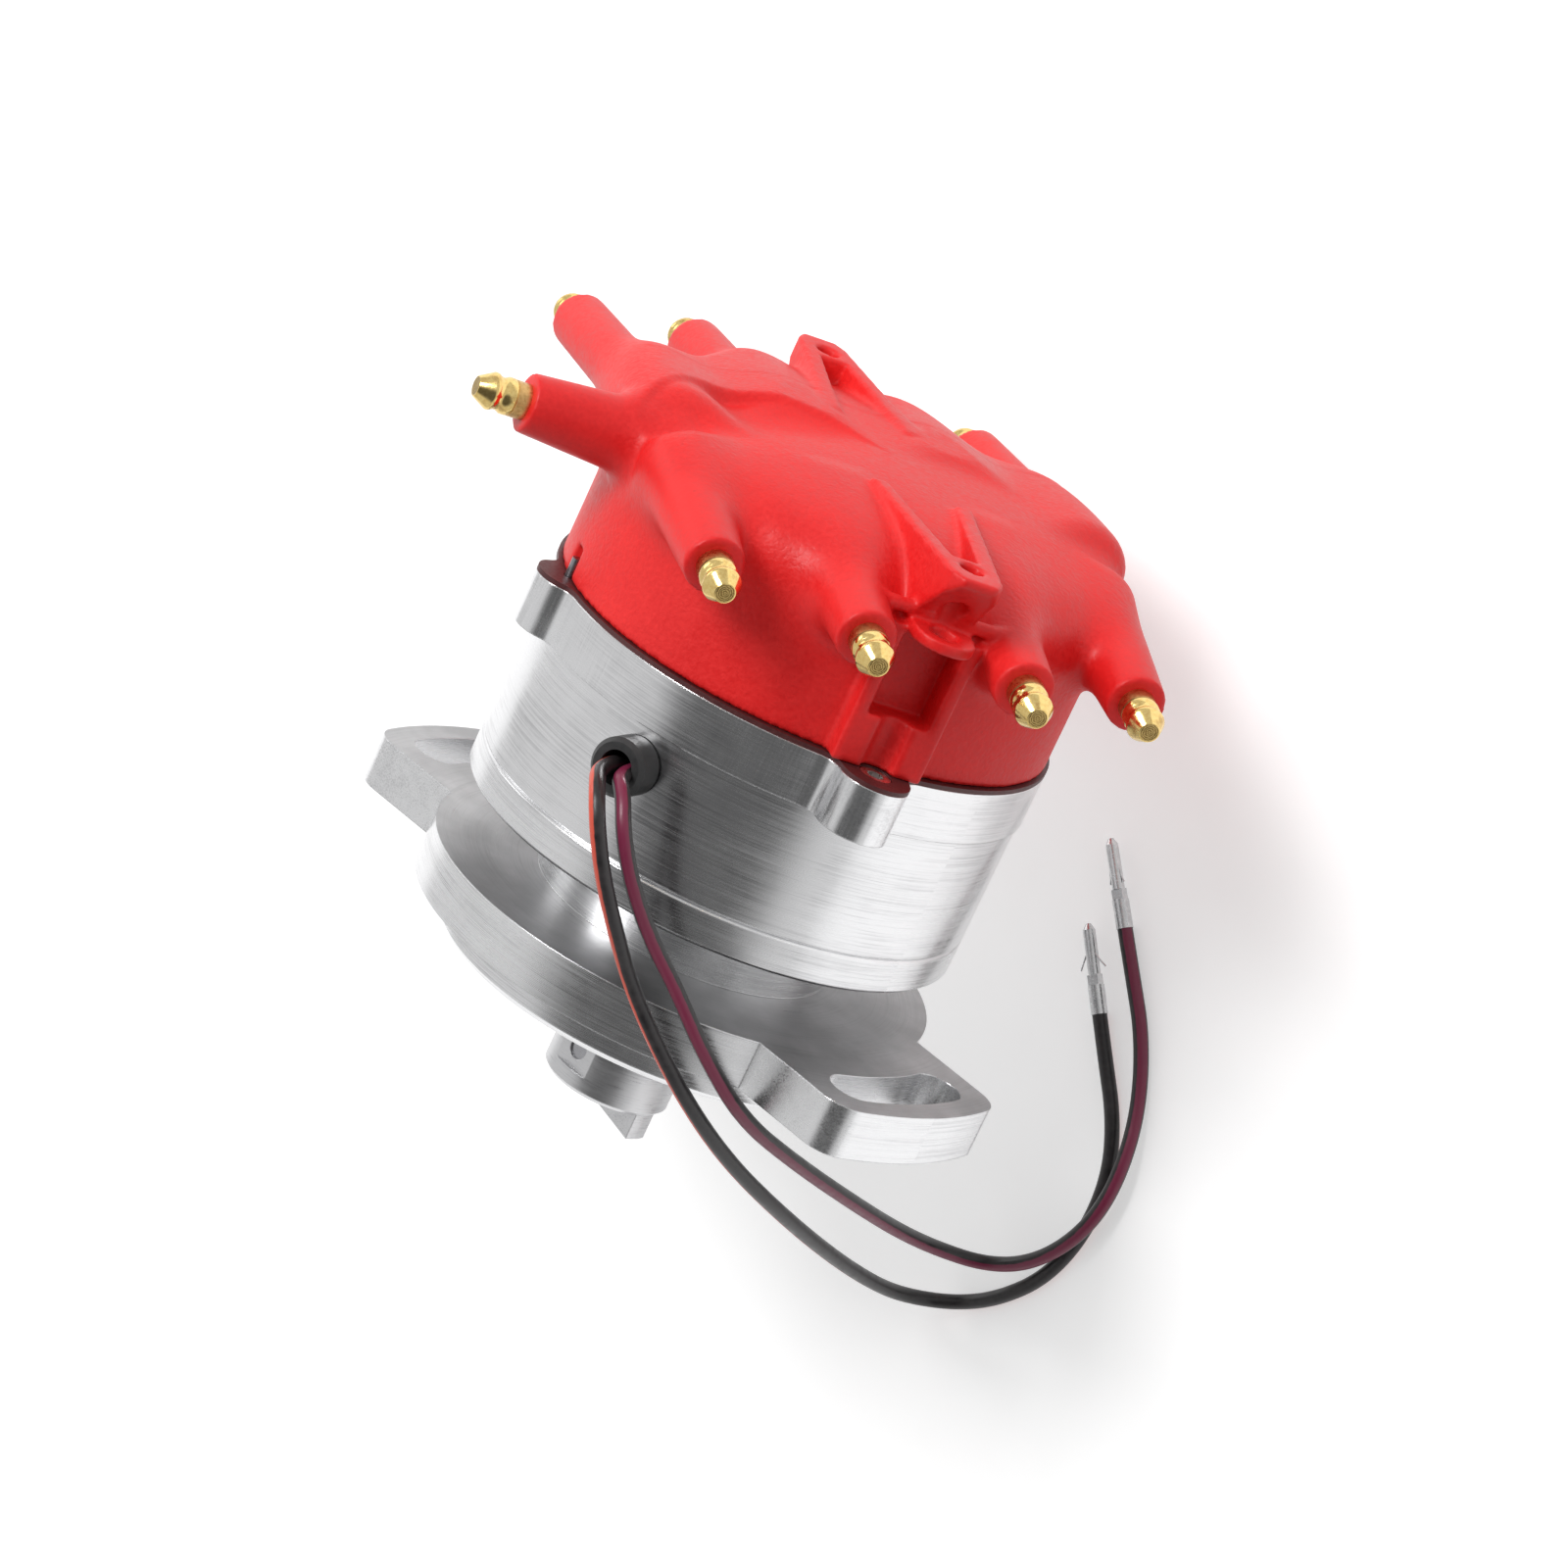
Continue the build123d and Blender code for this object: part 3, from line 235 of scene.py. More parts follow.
def milled_metal(name, light, dark, rough):
    """The bowl: turned, and milled with strokes along the shaft where the rim carries its lobes."""
    n = Nodes(name, Metallic=1.0)
    radius, along, turn = lathe_place(n)
    lathe = n.joined(radius, along, n.times(turn, LATHE_TURN))
    fine = n.noise(3000.0, 3.0, 0.75, lathe)
    wide = n.noise(190.0, 2.0, 0.5, lathe)
    strokes = n.noise(2200.0, 3.0, 0.8, n.joined(n.times(turn, 0.048), n.times(along, 0.03), 0.0))
    cloud = n.noise(45.0, 4.0, 0.6)
    on_rim = n.times(n.math("LESS_THAN", along, RIM_PLACE),
                     n.spread(n.noise(22.0, 2.0), 0.0, 1.0, 0.42, 0.60))
    milled = n.times(on_rim, 0.6)
    grain = n.plus(n.times(fine, n.math("SUBTRACT", 1.0, milled)), n.times(strokes, milled))
    tone = n.weighed((grain, 0.52), (wide, 0.10), (cloud, 0.38))
    n.colour(metal_colour(n, tone, light, dark))
    n.roughness(metal_roughness(n, grain, cloud, rough))
    n.bump(grain, 0.000012, 0.6, n.soft_edges(0.0004))
    return n.material


def plain_metal(name, light, dark, rough, grain=900.0, depth=0.00002):
    """Rolled, ground or plated metal with a fine grain and faint stains."""
    n = Nodes(name, Metallic=1.0)
    fine = n.noise(grain, 4.0, 0.6)
    wide = n.noise(70.0, 3.0, 0.6)
    n.colour(n.ramp(n.weighed((fine, 0.4), (wide, 0.6)), (0.35, dark), (0.65, light)))
    n.roughness(n.spread(fine, rough - 0.06, rough + 0.08, 0.3, 0.7))
    n.bump(fine, depth, 0.4)
    return n.material


def moulded(name, light, dark, rough, grain=1500.0, depth=0.00008):
    """Moulded plastic or rubber with a pebbled skin."""
    n = Nodes(name)
    fine = n.noise(grain, 3.0, 0.6)
    wide = n.noise(60.0, 3.0, 0.55)
    n.colour(n.ramp(n.weighed((fine, 0.45), (wide, 0.55)), (0.32, dark), (0.68, light)))
    n.roughness(n.spread(fine, rough - 0.07, rough + 0.1, 0.3, 0.7))
    n.bump(fine, depth, 0.5)
    return n.material


def cap_plastic(name, light, dark, rough):
    """Red moulding compound: pebbled on the drum, smoother out on the towers, with a few specks."""
    n = Nodes(name, Specular_IOR_Level=0.36)
    radius = lathe_place(n)[0]
    pebble = n.noise(1150.0, 2.0, 0.5, distortion=0.25)
    orange = n.noise(420.0, 2.0, 0.5)
    wide = n.noise(38.0, 3.0, 0.55)
    specks = n.math("GREATER_THAN", n.noise(900.0, 2.0, 0.5), 0.74)
    tone = n.ramp(n.weighed((pebble, 0.35), (wide, 0.65)), (0.34, dark), (0.64, light))
    n.colour(n.mix(n.times(specks, 0.18), tone, (0.30, 0.01, 0.01)))
    n.roughness(n.plus(n.spread(pebble, rough - 0.05, rough + 0.08, 0.3, 0.7),
                       n.spread(wide, -0.05, 0.05, 0.35, 0.65)))
    skin = n.times(n.spread(radius, 1.0, 0.22, 0.047, 0.053),
                   n.spread(orange, 0.55, 1.0, 0.35, 0.6))
    n.bump(n.times(pebble, skin), 0.00016, 0.85)
    return n.material


def brass_metal(name, light, dark, rough, stain_and_painted_shade):
    """Turned brass with patches of tarnish."""
    n = Nodes(name, Metallic=1.0)
    fine = n.noise(1600.0, 3.0, 0.6)
    patch = n.noise(260.0, 4.0, 0.62, distortion=0.4)
    tone = n.ramp(fine, (0.3, dark), (0.6, light))
    n.colour(n.mix(n.spread(patch, 0.0, 0.85, 0.56, 0.72), tone, stain_and_painted_shade))
    n.roughness(n.plus(n.spread(fine, rough - 0.03, rough + 0.05, 0.3, 0.7),
                       n.spread(patch, -0.02, 0.14, 0.5, 0.72)))
    n.bump(fine, 0.00001, 0.4)
    return n.material


def brass_flat(name):
    """The sawn and turned flat of a terminal's nose, with its ringed tool mark."""
    n = Nodes(name, Metallic=1.0)
    centred = n.add("ShaderNodeMapping")
    centred.inputs["Location"].default_value = (-0.5, -0.47, 0)
    n.link(n.add("ShaderNodeTexCoord").outputs["UV"], centred.inputs["Vector"])
    rings = n.add("ShaderNodeTexWave", wave_type="RINGS", rings_direction="SPHERICAL")
    n.link(centred.outputs[0], rings.inputs["Vector"])
    rings.inputs["Scale"].default_value = 3.4
    rings.inputs["Distortion"].default_value = 5.0
    rings.inputs["Detail"].default_value = 3.0
    rings.inputs["Detail Scale"].default_value = 2.2
    mark = rings.outputs["Fac"]
    n.colour(n.ramp(mark, (0.15, (0.20, 0.125, 0.04)), (0.75, (0.56, 0.40, 0.15))))
    n.roughness(n.spread(mark, 0.5, 0.34))
    n.bump(mark, 0.00008, 0.7)
    return n.material


BILLET = (0.82, 0.82, 0.83), (0.60, 0.60, 0.61)
billet = turned_metal("billet_aluminium", *BILLET, 0.23)
# face=0.42 paints shade onto the flange's faces square to the shaft
billet_flange = turned_metal("billet_flange", *BILLET, 0.24, face=0.42)
billet_bowl = milled_metal("billet_bowl", *BILLET, 0.21)
cap_red = cap_plastic("cap_red", (0.83, 0.022, 0.021), (0.68, 0.009, 0.010), 0.46)
brass = brass_metal("brass", (0.90, 0.68, 0.27), (0.78, 0.53, 0.18), 0.17, (0.50, 0.30, 0.10))
brass_base = brass_metal("brass_base", (0.66, 0.42, 0.17), (0.50, 0.29, 0.10), 0.30,
                         (0.36, 0.20, 0.08))
brass_tip = brass_flat("brass_tip")
rubber = moulded("black_rubber", (0.035, 0.035, 0.035), (0.014, 0.014, 0.015), 0.42, 700.0, 0.00003)
tin = plain_metal("tin_plated", (0.80, 0.80, 0.80), (0.50, 0.50, 0.51), 0.24)
by_slot = {
    "billet_aluminium": billet,
    "cap_red": cap_red,
    "adapter_dark": moulded("adapter_dark", (0.10, 0.02, 0.02), (0.05, 0.01, 0.012), 0.45),
    "brass": brass,
    "steel": turned_metal("steel", (0.66, 0.66, 0.67), (0.44, 0.44, 0.46), 0.3),
    "hardened_steel": plain_metal("hardened_steel", (0.46, 0.46, 0.48), (0.3, 0.3, 0.32), 0.28),
    "zinc_steel": plain_metal("zinc_steel", (0.78, 0.78, 0.77), (0.6, 0.6, 0.58), 0.3),
    "spring_steel": plain_metal("spring_steel", (0.56, 0.56, 0.58), (0.4, 0.4, 0.42), 0.25),
    "bronze": plain_metal("bronze", (0.62, 0.40, 0.20), (0.45, 0.27, 0.12), 0.42, 2200.0, 0.00005),
    "black_rubber": rubber,
    "lead_insulation": rubber,
    "black_plastic": moulded("black_plastic", (0.045, 0.045, 0.05), (0.025, 0.025, 0.03), 0.4),
    "carbon": moulded("carbon", (0.06, 0.06, 0.06), (0.03, 0.03, 0.03), 0.55, 2500.0, 0.00004),
    "tin_plated": tin,
}
by_node = {"bowl": billet_bowl, "mounting_flange": billet_flange}
for part in frame["record"]["subparts"]:
    worn = nodes[part["node"]].data.materials
    worn.clear()
    worn.append(by_node.get(part["node"], by_slot[part["material_slot"]]))


# ---------------------------------------------------------------- cap moulding
# The cap is worked out as a distance field, so that its towers, bay and ridge run into each other
# with soft fillets. u points at the near bank of towers, v across them, h up the shaft; all in mm.
# A field is negative inside.
CAP_ANGLE = math.radians(149.5)
CAP_BASE, CAP_TOP = 64.2, 104.85
DRUM_RADIUS = 47.3
CROWN, CROWN_RADIUS = 104.8, 235.0                # height and radius of the domed top
BAY_BACK, BAY_REACH = 9.0, 47.5                   # the bay is struck from this far behind the axis
BAY_FOOT, BAY_RISE, BAY_POWER = 81.0, 23.6, 2.9
BAY_FROM, VALLEY_TO = -25, 40                     # along u, where each one starts or ends
EDGE_BLEND, BAY_BLEND, VALLEY_BLEND = 4.5, 3.0, 0.8
VALLEY_LINE = (12.0, -52.0), (-11.5, -29.0), (-5.0, -3.0)       # u, v of three points on its bed
VALLEY_GENTLE, VALLEY_STEEP = 0.14, 2.8           # slopes towards the bay and towards the ridge
VALLEY_SCALE = 0.6                                # brings its height difference near a distance
VALLEY_V = (-56, -48, -42, -36, -30, -24, -18, -12, -6, 0, 12)
VALLEY_H = (89.0, 93.0, 96.0, 97.8, 99.0, 99.9, 100.9, 102.0, 103.2, 104.5, 107.5)
NEAR_TIP, FAR_TIP = (69.0, 88.2, 6.0), (84.7, 89.9, 5.0)        # radius, height, droop in degrees
COIL_TIP = (77.6, 92.2)                                         # radius, height
ACROSS = (-41.4, -15.4, 15.4, 41.4)                             # v of each bank's towers
TERMINAL = 9.5                                                  # from a tower's mouth to the tip
MOUTH_RADIUS, MOUTH_ROUND, ROOT_ROUND = 5.35, 0.5, 4.0
OUTER_FROM = 20                                   # a bank's outer towers are further across
NEAR_ROOT, FAR_ROOT, COIL_ROOT = 7.4, 5.9, 7.5                  # radii where the towers end inside
INNER_END, NEAR_OUTER_END, FAR_OUTER_END, COIL_END = 24.0, 20.0, 10.0, 50.0     # and how far out
NEAR_BLEND, FAR_BLEND, COIL_BLEND = 6.0, 11.0, 3.5
CHANNEL_HALF, CHANNEL_OUT, CHANNEL_TOP = 8.6, 50.0, 91.2        # the screw channels
RECESS_HALF, RECESS_IN, RECESS_FLOOR, RECESS_TOP = 6.0, 43.5, 74.0, 90.3
LUG_RADIUS, LUG_OUT, LUG_TOP = 5.9, 51.4, 92.5                  # the flange over each channel
POST = (17, 9.9), (54.5, 4.9), (57.2, 3.2), (57.2, -3.2), (54.5, -4.9), (17, -9.9)
POCKET = (8, 8.1), (46.2, 2.6), (46.2, -2.6), (8, -8.1)
POST_TOP, POST_FOOT = 104.75, 84
FRONT_OUT, FRONT_FOOT, FRONT_RISE = 46.0, 91.8, 1.02            # the sloping face of each post
FRONT_SCALE = 0.70                                              # makes its difference a distance
CHANNEL_BLEND, LUG_BLEND, POST_BLEND, PEG_BLEND = 1.4, 0.8, 1.5, 0.8
PEG_OUT, PEG_HEIGHT, PEG_RADIUS, PEG_HALF = 47.5, 94.0, 1.3, 15.0
POST_HOLE, POST_HOLE_OUT = 2.25, 50.4
LUG_HOLE, LUG_HOLE_OUT = 2.65, 51.8
HOLE_MIDDLE, HOLE_FOOT = 93.0, 88.0
SCREW_ROOM, SCREW_OUT, SCREW_TOP = 3.2, 50.6, 75.0
HOLLOW_WIDE, HOLLOW_NARROW, HOLLOW_SHOULDER, HOLLOW_TAPER, HOLLOW_TOP = 39.8, 33.5, 80, 0.79, 88.0
BOSS_RADIUS, BOSS_FOOT = 6.0, 80.5
BRUSH_RADIUS, BRUSH_TOP = 2.68, 90.0
NOTCH_OUT, NOTCH_RADIUS, NOTCH_TOP = 46.8, 1.6, 70.0            # for the rim's locating pin
NOTCH_ANGLE = math.radians(58.5) - CAP_ANGLE
SPIGOT_RADIUS, SPIGOT_FOOT, SPIGOT_TOP = 42.25, 61.2, 66.0
GRID_LOW, GRID_HIGH = (-77.0, -71.5, 60.0), (61.5, 53.0, 106.5)
BAND = 3.0                                                      # distances are kept up to this
QUICK_STEP, FULL_STEP = 1.0, 0.6
NOWHERE = 20                                                    # a distance that has no effect


def all_of(*fields):
    return reduce(np.maximum, fields)


def any_of(*fields):
    return reduce(np.minimum, fields)


def round_min(a, b, k):
    return np.minimum(a, b) - np.maximum(k - np.abs(a - b), 0) ** 2 / (4 * k)


def round_max(a, b, k):
    return -round_min(-a, -b, k)


def tower_field(u, v, h, tip, direction, length, root_radius):
    """A cone from its mouth, TERMINAL behind the tip, back into the drum."""
    du, dv, dh = (u - tip[0], v - tip[1], h - tip[2])
    along = -(du * direction[0] + dv * direction[1] + dh * direction[2]) - TERMINAL
    off = np.sqrt(np.maximum(du ** 2 + dv ** 2 + dh ** 2 - (along + TERMINAL) ** 2, 0))
    side = off - (MOUTH_RADIUS + (root_radius - MOUTH_RADIUS) * np.clip(along / length, 0, 1))
    return round_max(round_max(side, -along, MOUTH_ROUND), along - length, ROOT_ROUND)


def polygon_field(x, y, *corners):
    """Distance to a convex outline, given as the corners in order."""
    sides = []
    for (x0, y0), (x1, y1) in zip(corners, corners[1:] + corners[:1]):
        run = math.hypot(x1 - x0, y1 - y0)
        sides.append(((y - y0) * (x1 - x0) - (x - x0) * (y1 - y0)) / run)
    return all_of(*sides)


def circle_through(a, b, c):
    """Centre and radius of the circle through three points."""
    d = 2 * (a[0] * (b[1] - c[1]) + b[0] * (c[1] - a[1]) + c[0] * (a[1] - b[1]))
    p, q, r = (point[0] ** 2 + point[1] ** 2 for point in (a, b, c))
    x = (p * (b[1] - c[1]) + q * (c[1] - a[1]) + r * (a[1] - b[1])) / d
    y = (p * (c[0] - b[0]) + q * (a[0] - c[0]) + r * (b[0] - a[0])) / d
    return (x, y), math.hypot(a[0] - x, a[1] - y)


def plug_towers():
    """Each plug tower's bank, 1 near or -1 far, and the tip and direction of its terminal."""
    for bank, (radius, height, droop) in ((1, NEAR_TIP), (-1, FAR_TIP)):
        lean = math.radians(droop)
        for across in ACROSS:
            tip = (bank * math.sqrt(radius ** 2 - across ** 2), across, height)
            yield bank, tip, (bank * math.cos(lean), 0.0, -math.sin(lean))


def bay_field(u, v, h):
    """The bay that the near towers stand in: a shoulder struck from a centre behind the axis."""
    reach = np.maximum(np.hypot(u + BAY_BACK, v) - BAY_BACK, 0.0) / BAY_REACH
    rise = np.maximum(h - BAY_FOOT, 0.0) / BAY_RISE
    level = reach ** BAY_POWER + rise ** BAY_POWER
    steep = (reach ** (BAY_POWER - 1) / BAY_REACH) ** 2 + (rise ** (BAY_POWER - 1) / BAY_RISE) ** 2
    slope = BAY_POWER * np.sqrt(steep) + 1e-4
    return np.where(u > BAY_FROM, np.clip((level - 1) / slope, -NOWHERE, NOWHERE), -NOWHERE)


def valley_field(u, v, h):
    """The valley between the far ridge and the bay: steep towards the ridge, gentle to the bay."""
    centre, radius = circle_through(*VALLEY_LINE)
    inward = radius - np.hypot(u - centre[0], v - centre[1])
    sides = round_max(VALLEY_GENTLE * inward, -VALLEY_STEEP * inward, VALLEY_BLEND)
    floor = np.interp(v, VALLEY_V, VALLEY_H) + sides
    return np.where(u < VALLEY_TO, (h - floor) * VALLEY_SCALE, -NOWHERE)


def with_towers(body, u, v, h):
    for bank, tip, direction in plug_towers():
        near, outer = bank > 0, abs(tip[1]) > OUTER_FROM
        end = (NEAR_OUTER_END if near else FAR_OUTER_END) if outer else INNER_END
        cone = tower_field(u, v, h, tip, direction, abs(tip[0]) - end,
                           NEAR_ROOT if near else FAR_ROOT)
        body = round_min(body, cone, NEAR_BLEND if near else FAR_BLEND)
    coil = tower_field(u, v, h, (0.0, -COIL_TIP[0], COIL_TIP[1]), (0.0, -1.0, 0.0),
                       COIL_TIP[0] - COIL_END, COIL_ROOT)
    return round_min(body, coil, COIL_BLEND)


def with_posts(body, u, v, h):
    """Adds the screw channels, the lug over each, the posts with their pockets and the peg."""
    x = np.abs(u)
    channel = all_of(np.abs(v) - CHANNEL_HALF, x - CHANNEL_OUT, h - CHANNEL_TOP, CAP_BASE - h)
    body = round_min(body, channel, CHANNEL_BLEND)
    outline = any_of(np.hypot(x - LUG_OUT, v) - LUG_RADIUS,
                     all_of(np.abs(v) - LUG_RADIUS, x - LUG_OUT))
    body = round_min(body, all_of(outline, h - LUG_TOP, RECESS_TOP - h), LUG_BLEND)
    front = (FRONT_FOOT + (x - FRONT_OUT) * FRONT_RISE - h) * FRONT_SCALE
    post = all_of(polygon_field(x, v, *POST), -polygon_field(x, v, *POCKET), h - POST_TOP,
                  front, POST_FOOT - h)
    body = round_min(body, post, POST_BLEND)
    peg = all_of(np.hypot(x - PEG_OUT, h - PEG_HEIGHT) - PEG_RADIUS, np.abs(v) - PEG_HALF)
    return round_min(body, np.where(u > 0, peg, NOWHERE), PEG_BLEND)


def hollows(u, v, h):
    """What is cut out: channel recesses, screw holes, the inside, the brush hole and the notch."""
    x, r = np.abs(u), np.hypot(u, v)
    recess = all_of(np.abs(v) - RECESS_HALF, RECESS_IN - x, RECESS_FLOOR - h, h - RECESS_TOP)
    post_hole = all_of(np.hypot(x - POST_HOLE_OUT, v) - POST_HOLE, HOLE_MIDDLE - h)
    lug_hole = all_of(np.hypot(x - LUG_HOLE_OUT, v) - LUG_HOLE, h - HOLE_MIDDLE, HOLE_FOOT - h)
    screw = all_of(np.hypot(x - SCREW_OUT, v) - SCREW_ROOM, h - SCREW_TOP)
    taper = np.clip(HOLLOW_WIDE - (h - HOLLOW_SHOULDER) * HOLLOW_TAPER, HOLLOW_NARROW, HOLLOW_WIDE)
    inside = all_of(r - taper, h - HOLLOW_TOP)
    boss = all_of(r - BOSS_RADIUS, BOSS_FOOT - h)
    brush = all_of(r - BRUSH_RADIUS, h - BRUSH_TOP)
    notch_u, notch_v = NOTCH_OUT * math.cos(NOTCH_ANGLE), NOTCH_OUT * math.sin(NOTCH_ANGLE)
    notch = all_of(np.hypot(u - notch_u, v - notch_v) - NOTCH_RADIUS, h - NOTCH_TOP)
    return any_of(recess, post_hole, lug_hole, all_of(inside, -boss), brush, notch, screw)


def cap_field(u, v, h):
    r = np.hypot(u, v)
    crown = np.sqrt(r ** 2 + (h - CROWN + CROWN_RADIUS) ** 2) - CROWN_RADIUS
    body = round_max(r - DRUM_RADIUS, crown, EDGE_BLEND)
    body = round_max(body, bay_field(u, v, h), BAY_BLEND)
    body = round_max(body, valley_field(u, v, h), VALLEY_BLEND)
    body = with_posts(with_towers(body, u, v, h), u, v, h)
    body = all_of(body, -hollows(u, v, h), CAP_BASE - h)
    spigot = all_of(r - SPIGOT_RADIUS, HOLLOW_WIDE - r, SPIGOT_FOOT - h, h - SPIGOT_TOP)
    return all_of(any_of(body, spigot), h - CAP_TOP)


def from_cap(u, v, h):
    """The cap's own axes, turned to the frame's."""
    cos, sin = math.cos(CAP_ANGLE), math.sin(CAP_ANGLE)
    return u * cos - v * sin, -h, u * sin + v * cos


def cap_moulding(step):
    """Meshes the field on a grid of that step."""
    axes = [np.arange(a, b, step, dtype=np.float32) for a, b in zip(GRID_LOW, GRID_HIGH)]
    grid = openvdb.FloatGrid(BAND)
    grid.copyFromArray(cap_field(*np.meshgrid(*axes, indexing="ij")).clip(-BAND, BAND))
    points, quads = grid.convertToQuads(0.0)
    places = points * step + np.array(GRID_LOW)
    world = np.stack(from_cap(*places.T), axis=1)
    data = bpy.data.meshes.new("cap_moulding")
    data.from_pydata((world * MM).tolist(), [], quads.tolist())
    data.update()
    data.shade_smooth()
    data.materials.append(cap_red)
    piece = show("cap_moulding", data)
    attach(piece, "housing")
    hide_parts("distributor_cap")


cap_moulding(FULL_STEP)


# ---------------------------------------------------------------- brass terminals
# Radius, and distance out from the tower's mouth: base, groove, collar, neck, cone and flat tip.
PROFILE = ((3.3, -0.3), (3.3, 2.55), (3.1, 2.68), (3.1, 2.9), (3.36, 3.02), (3.36, 4.05),
           (3.2, 4.35), (2.97, 4.8), (2.97, 5.35), (3.15, 5.8), (3.36, 6.1), (3.42, 6.35),
           (3.42, 6.75), (3.3, 6.95), (2.0, 9.3), (1.88, 9.45), (1.7, 9.5), (0.85, 9.5))
BASE_ROWS, TIP_ROW = 2, len(PROFILE) - 2
AROUND = 40
FLAT_SPAN = 4                             # mm over which a terminal's UVs run from 0 to 1
SHARP_EDGE = math.radians(35)
BRASS, BASE, TIP = range(3)


def add_terminal(mesh, flat, tip, direction):
    """Turns the profile about one terminal's axis."""
    tip, direction = Vector(tip), Vector(direction).normalized()
    side = direction.cross(Vector((0, 1, 0))).normalized()
    up = side.cross(direction)
    turns = [2 * math.pi * i / AROUND for i in range(AROUND)]
    spokes = [side * math.cos(turn) + up * math.sin(turn) for turn in turns]
    rows = []
    for radius, place in PROFILE:
        centre = tip - direction * (TERMINAL - place)
        rows.append([mesh.verts.new((centre + radius * spoke) * MM) for spoke in spokes])
    centre = mesh.verts.new(tip * MM)

    def paint(face, material):
        face.material_index = material
        face.smooth = material != TIP
        for loop in face.loops:
            off = loop.vert.co / MM - tip
            loop[flat].uv = (off.dot(side) / FLAT_SPAN + 0.5, off.dot(up) / FLAT_SPAN + 0.5)

    for row, (low, high) in enumerate(zip(rows, rows[1:])):
        material = TIP if row == TIP_ROW else (BASE if row < BASE_ROWS else BRASS)
        for i in range(AROUND):
            j = (i + 1) % AROUND
            paint(mesh.faces.new((low[i], low[j], high[j], high[i])), material)
    for i in range(AROUND):
        paint(mesh.faces.new((rows[-1][i], rows[-1][(i + 1) % AROUND], centre)), TIP)


def terminals(name, node, places):
    mesh = bmesh.new()
    flat = mesh.loops.layers.uv.new("flat")
    for tip, direction in places:
        add_terminal(mesh, flat, from_cap(*tip), from_cap(*direction))
    data = bpy.data.meshes.new(name)
    mesh.to_mesh(data)
    mesh.free()
    for material in (brass, brass_base, brass_tip):
        data.materials.append(material)
    piece = show(name, data)
    piece.modifiers.new("edges", "EDGE_SPLIT").split_angle = SHARP_EDGE
    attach(piece, "housing")
    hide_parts(node)


terminals("plug_terminal_set", "plug_terminals",
          [(tip, direction) for bank, tip, direction in plug_towers()])
terminals("coil_terminal_nose", "coil_terminal",
          [((0, -COIL_TIP[0], COIL_TIP[1]), (0, -1, 0))])


# ---------------------------------------------------------------- leads
BENCH = -74.0
LEAD_RADIUS = 1.45
LAID = BENCH + LEAD_RADIUS                # a lead's middle where it lies on the bench
OVER = LAID + 3.3                         # and where it runs over the other one
LEAD_1 = [(-8.98, -46.0, 46.16), (-11.22, -46.0, 55.9), (-17.8, -45.3, 62.2), (-22.3, -40.3, 63.5),
          (-25.6, -32.3, 60.5), (-28.6, -23.1, 54.5), (-31.2, -13.9, 47.5), (-36.8, -6.3, 42.3),
          (-42.8, 3.2, 33.5), (-45.4, 13.8, 18.6), (-45.7, 25, -2.5), (-39.9, 39.2, -32.8),
          (-36.8, 48.2, -55), (-37.3, 50.8, -66), (-43.2, 48.6, LAID), (-51.2, 42.2, LAID),
          (-58.3, 32.8, LAID), (-61.5, 21, LAID), (-60.7, 8.9, LAID), (-55.8, -0.8, LAID),
          (-48.5, -9, LAID), (-43.1, -15.3, LAID)]
LEAD_2 = [(-12.0, -46.0, 45.47), (-13.79, -46.0, 53.26), (-20, -45.2, 57.4), (-24.7, -40, 58.9),
          (-28.1, -31.7, 54.8), (-31.8, -23, 48), (-36.6, -16.2, 42), (-42.7, -7, 35.2),
          (-47.7, 3.6, 23.3), (-47.2, 13.2, 2.3), (-44.9, 23.5, -22.7), (-41.5, 32.5, -45.4),
          (-41, 37.4, -61), (-46.8, 37.4, OVER), (-55.2, 31.9, OVER), (-61.4, 23.5, OVER),
          (-64.6, 13.9, OVER), (-63.8, 3.7, OVER - 1), (-59.5, -6.4, LAID), (-53.3, -17.4, LAID),
          (-46, -25.2, LAID), (-39.8, -31.9, LAID)]
BARB_RADIUS = 0.17
WINGS = (1.6, 0.405, 1.30), (4.6, 0.36, 1.12)     # along the contact, stagger, half width


def lead_material(name, stripe, centre, width):
    """Black insulation with a coloured line printed along it."""
    n = Nodes(name)
    around = n.apart(n.add("ShaderNodeTexCoord").outputs["UV"])[1]
    fine = n.noise(500.0, 3.0)
    edge = n.times(n.math("SUBTRACT", fine, 0.5), 0.03)
    turn = n.math("FRACT", n.plus(n.math("SUBTRACT", n.plus(around, edge), centre), 0.5))
    off = n.math("ABSOLUTE", n.math("SUBTRACT", turn, 0.5))
    on_stripe = n.spread(off, 1.0, 0.0, width - 0.012, width + 0.012)
    body = n.ramp(fine, (0.3, (0.012, 0.010, 0.011)), (0.7, (0.032, 0.027, 0.028)))
    n.colour(n.mix(on_stripe, body, stripe))
    n.roughness(n.spread(fine, 0.3, 0.45, 0.3, 0.7))
    n.bump(fine, 0.00003, 0.4)
    return n.material


def tube(name, radius, roundness, material):
    data = bpy.data.curves.new(name, "CURVE")
    data.dimensions = "3D"
    data.bevel_depth = radius * MM
    data.bevel_resolution = roundness
    data.use_fill_caps = True
    data.materials.append(material)
    return data


def add_run(data, places, tilt=0.0):
    spline = data.splines.new("NURBS")
    spline.points.add(len(places) - 1)
    for index, (point, place) in enumerate(zip(spline.points, places)):
        point.co = (*(x * MM for x in place), 1)
        point.tilt = tilt * index / len(places)
    spline.order_u = 3
    spline.use_endpoint_u = True


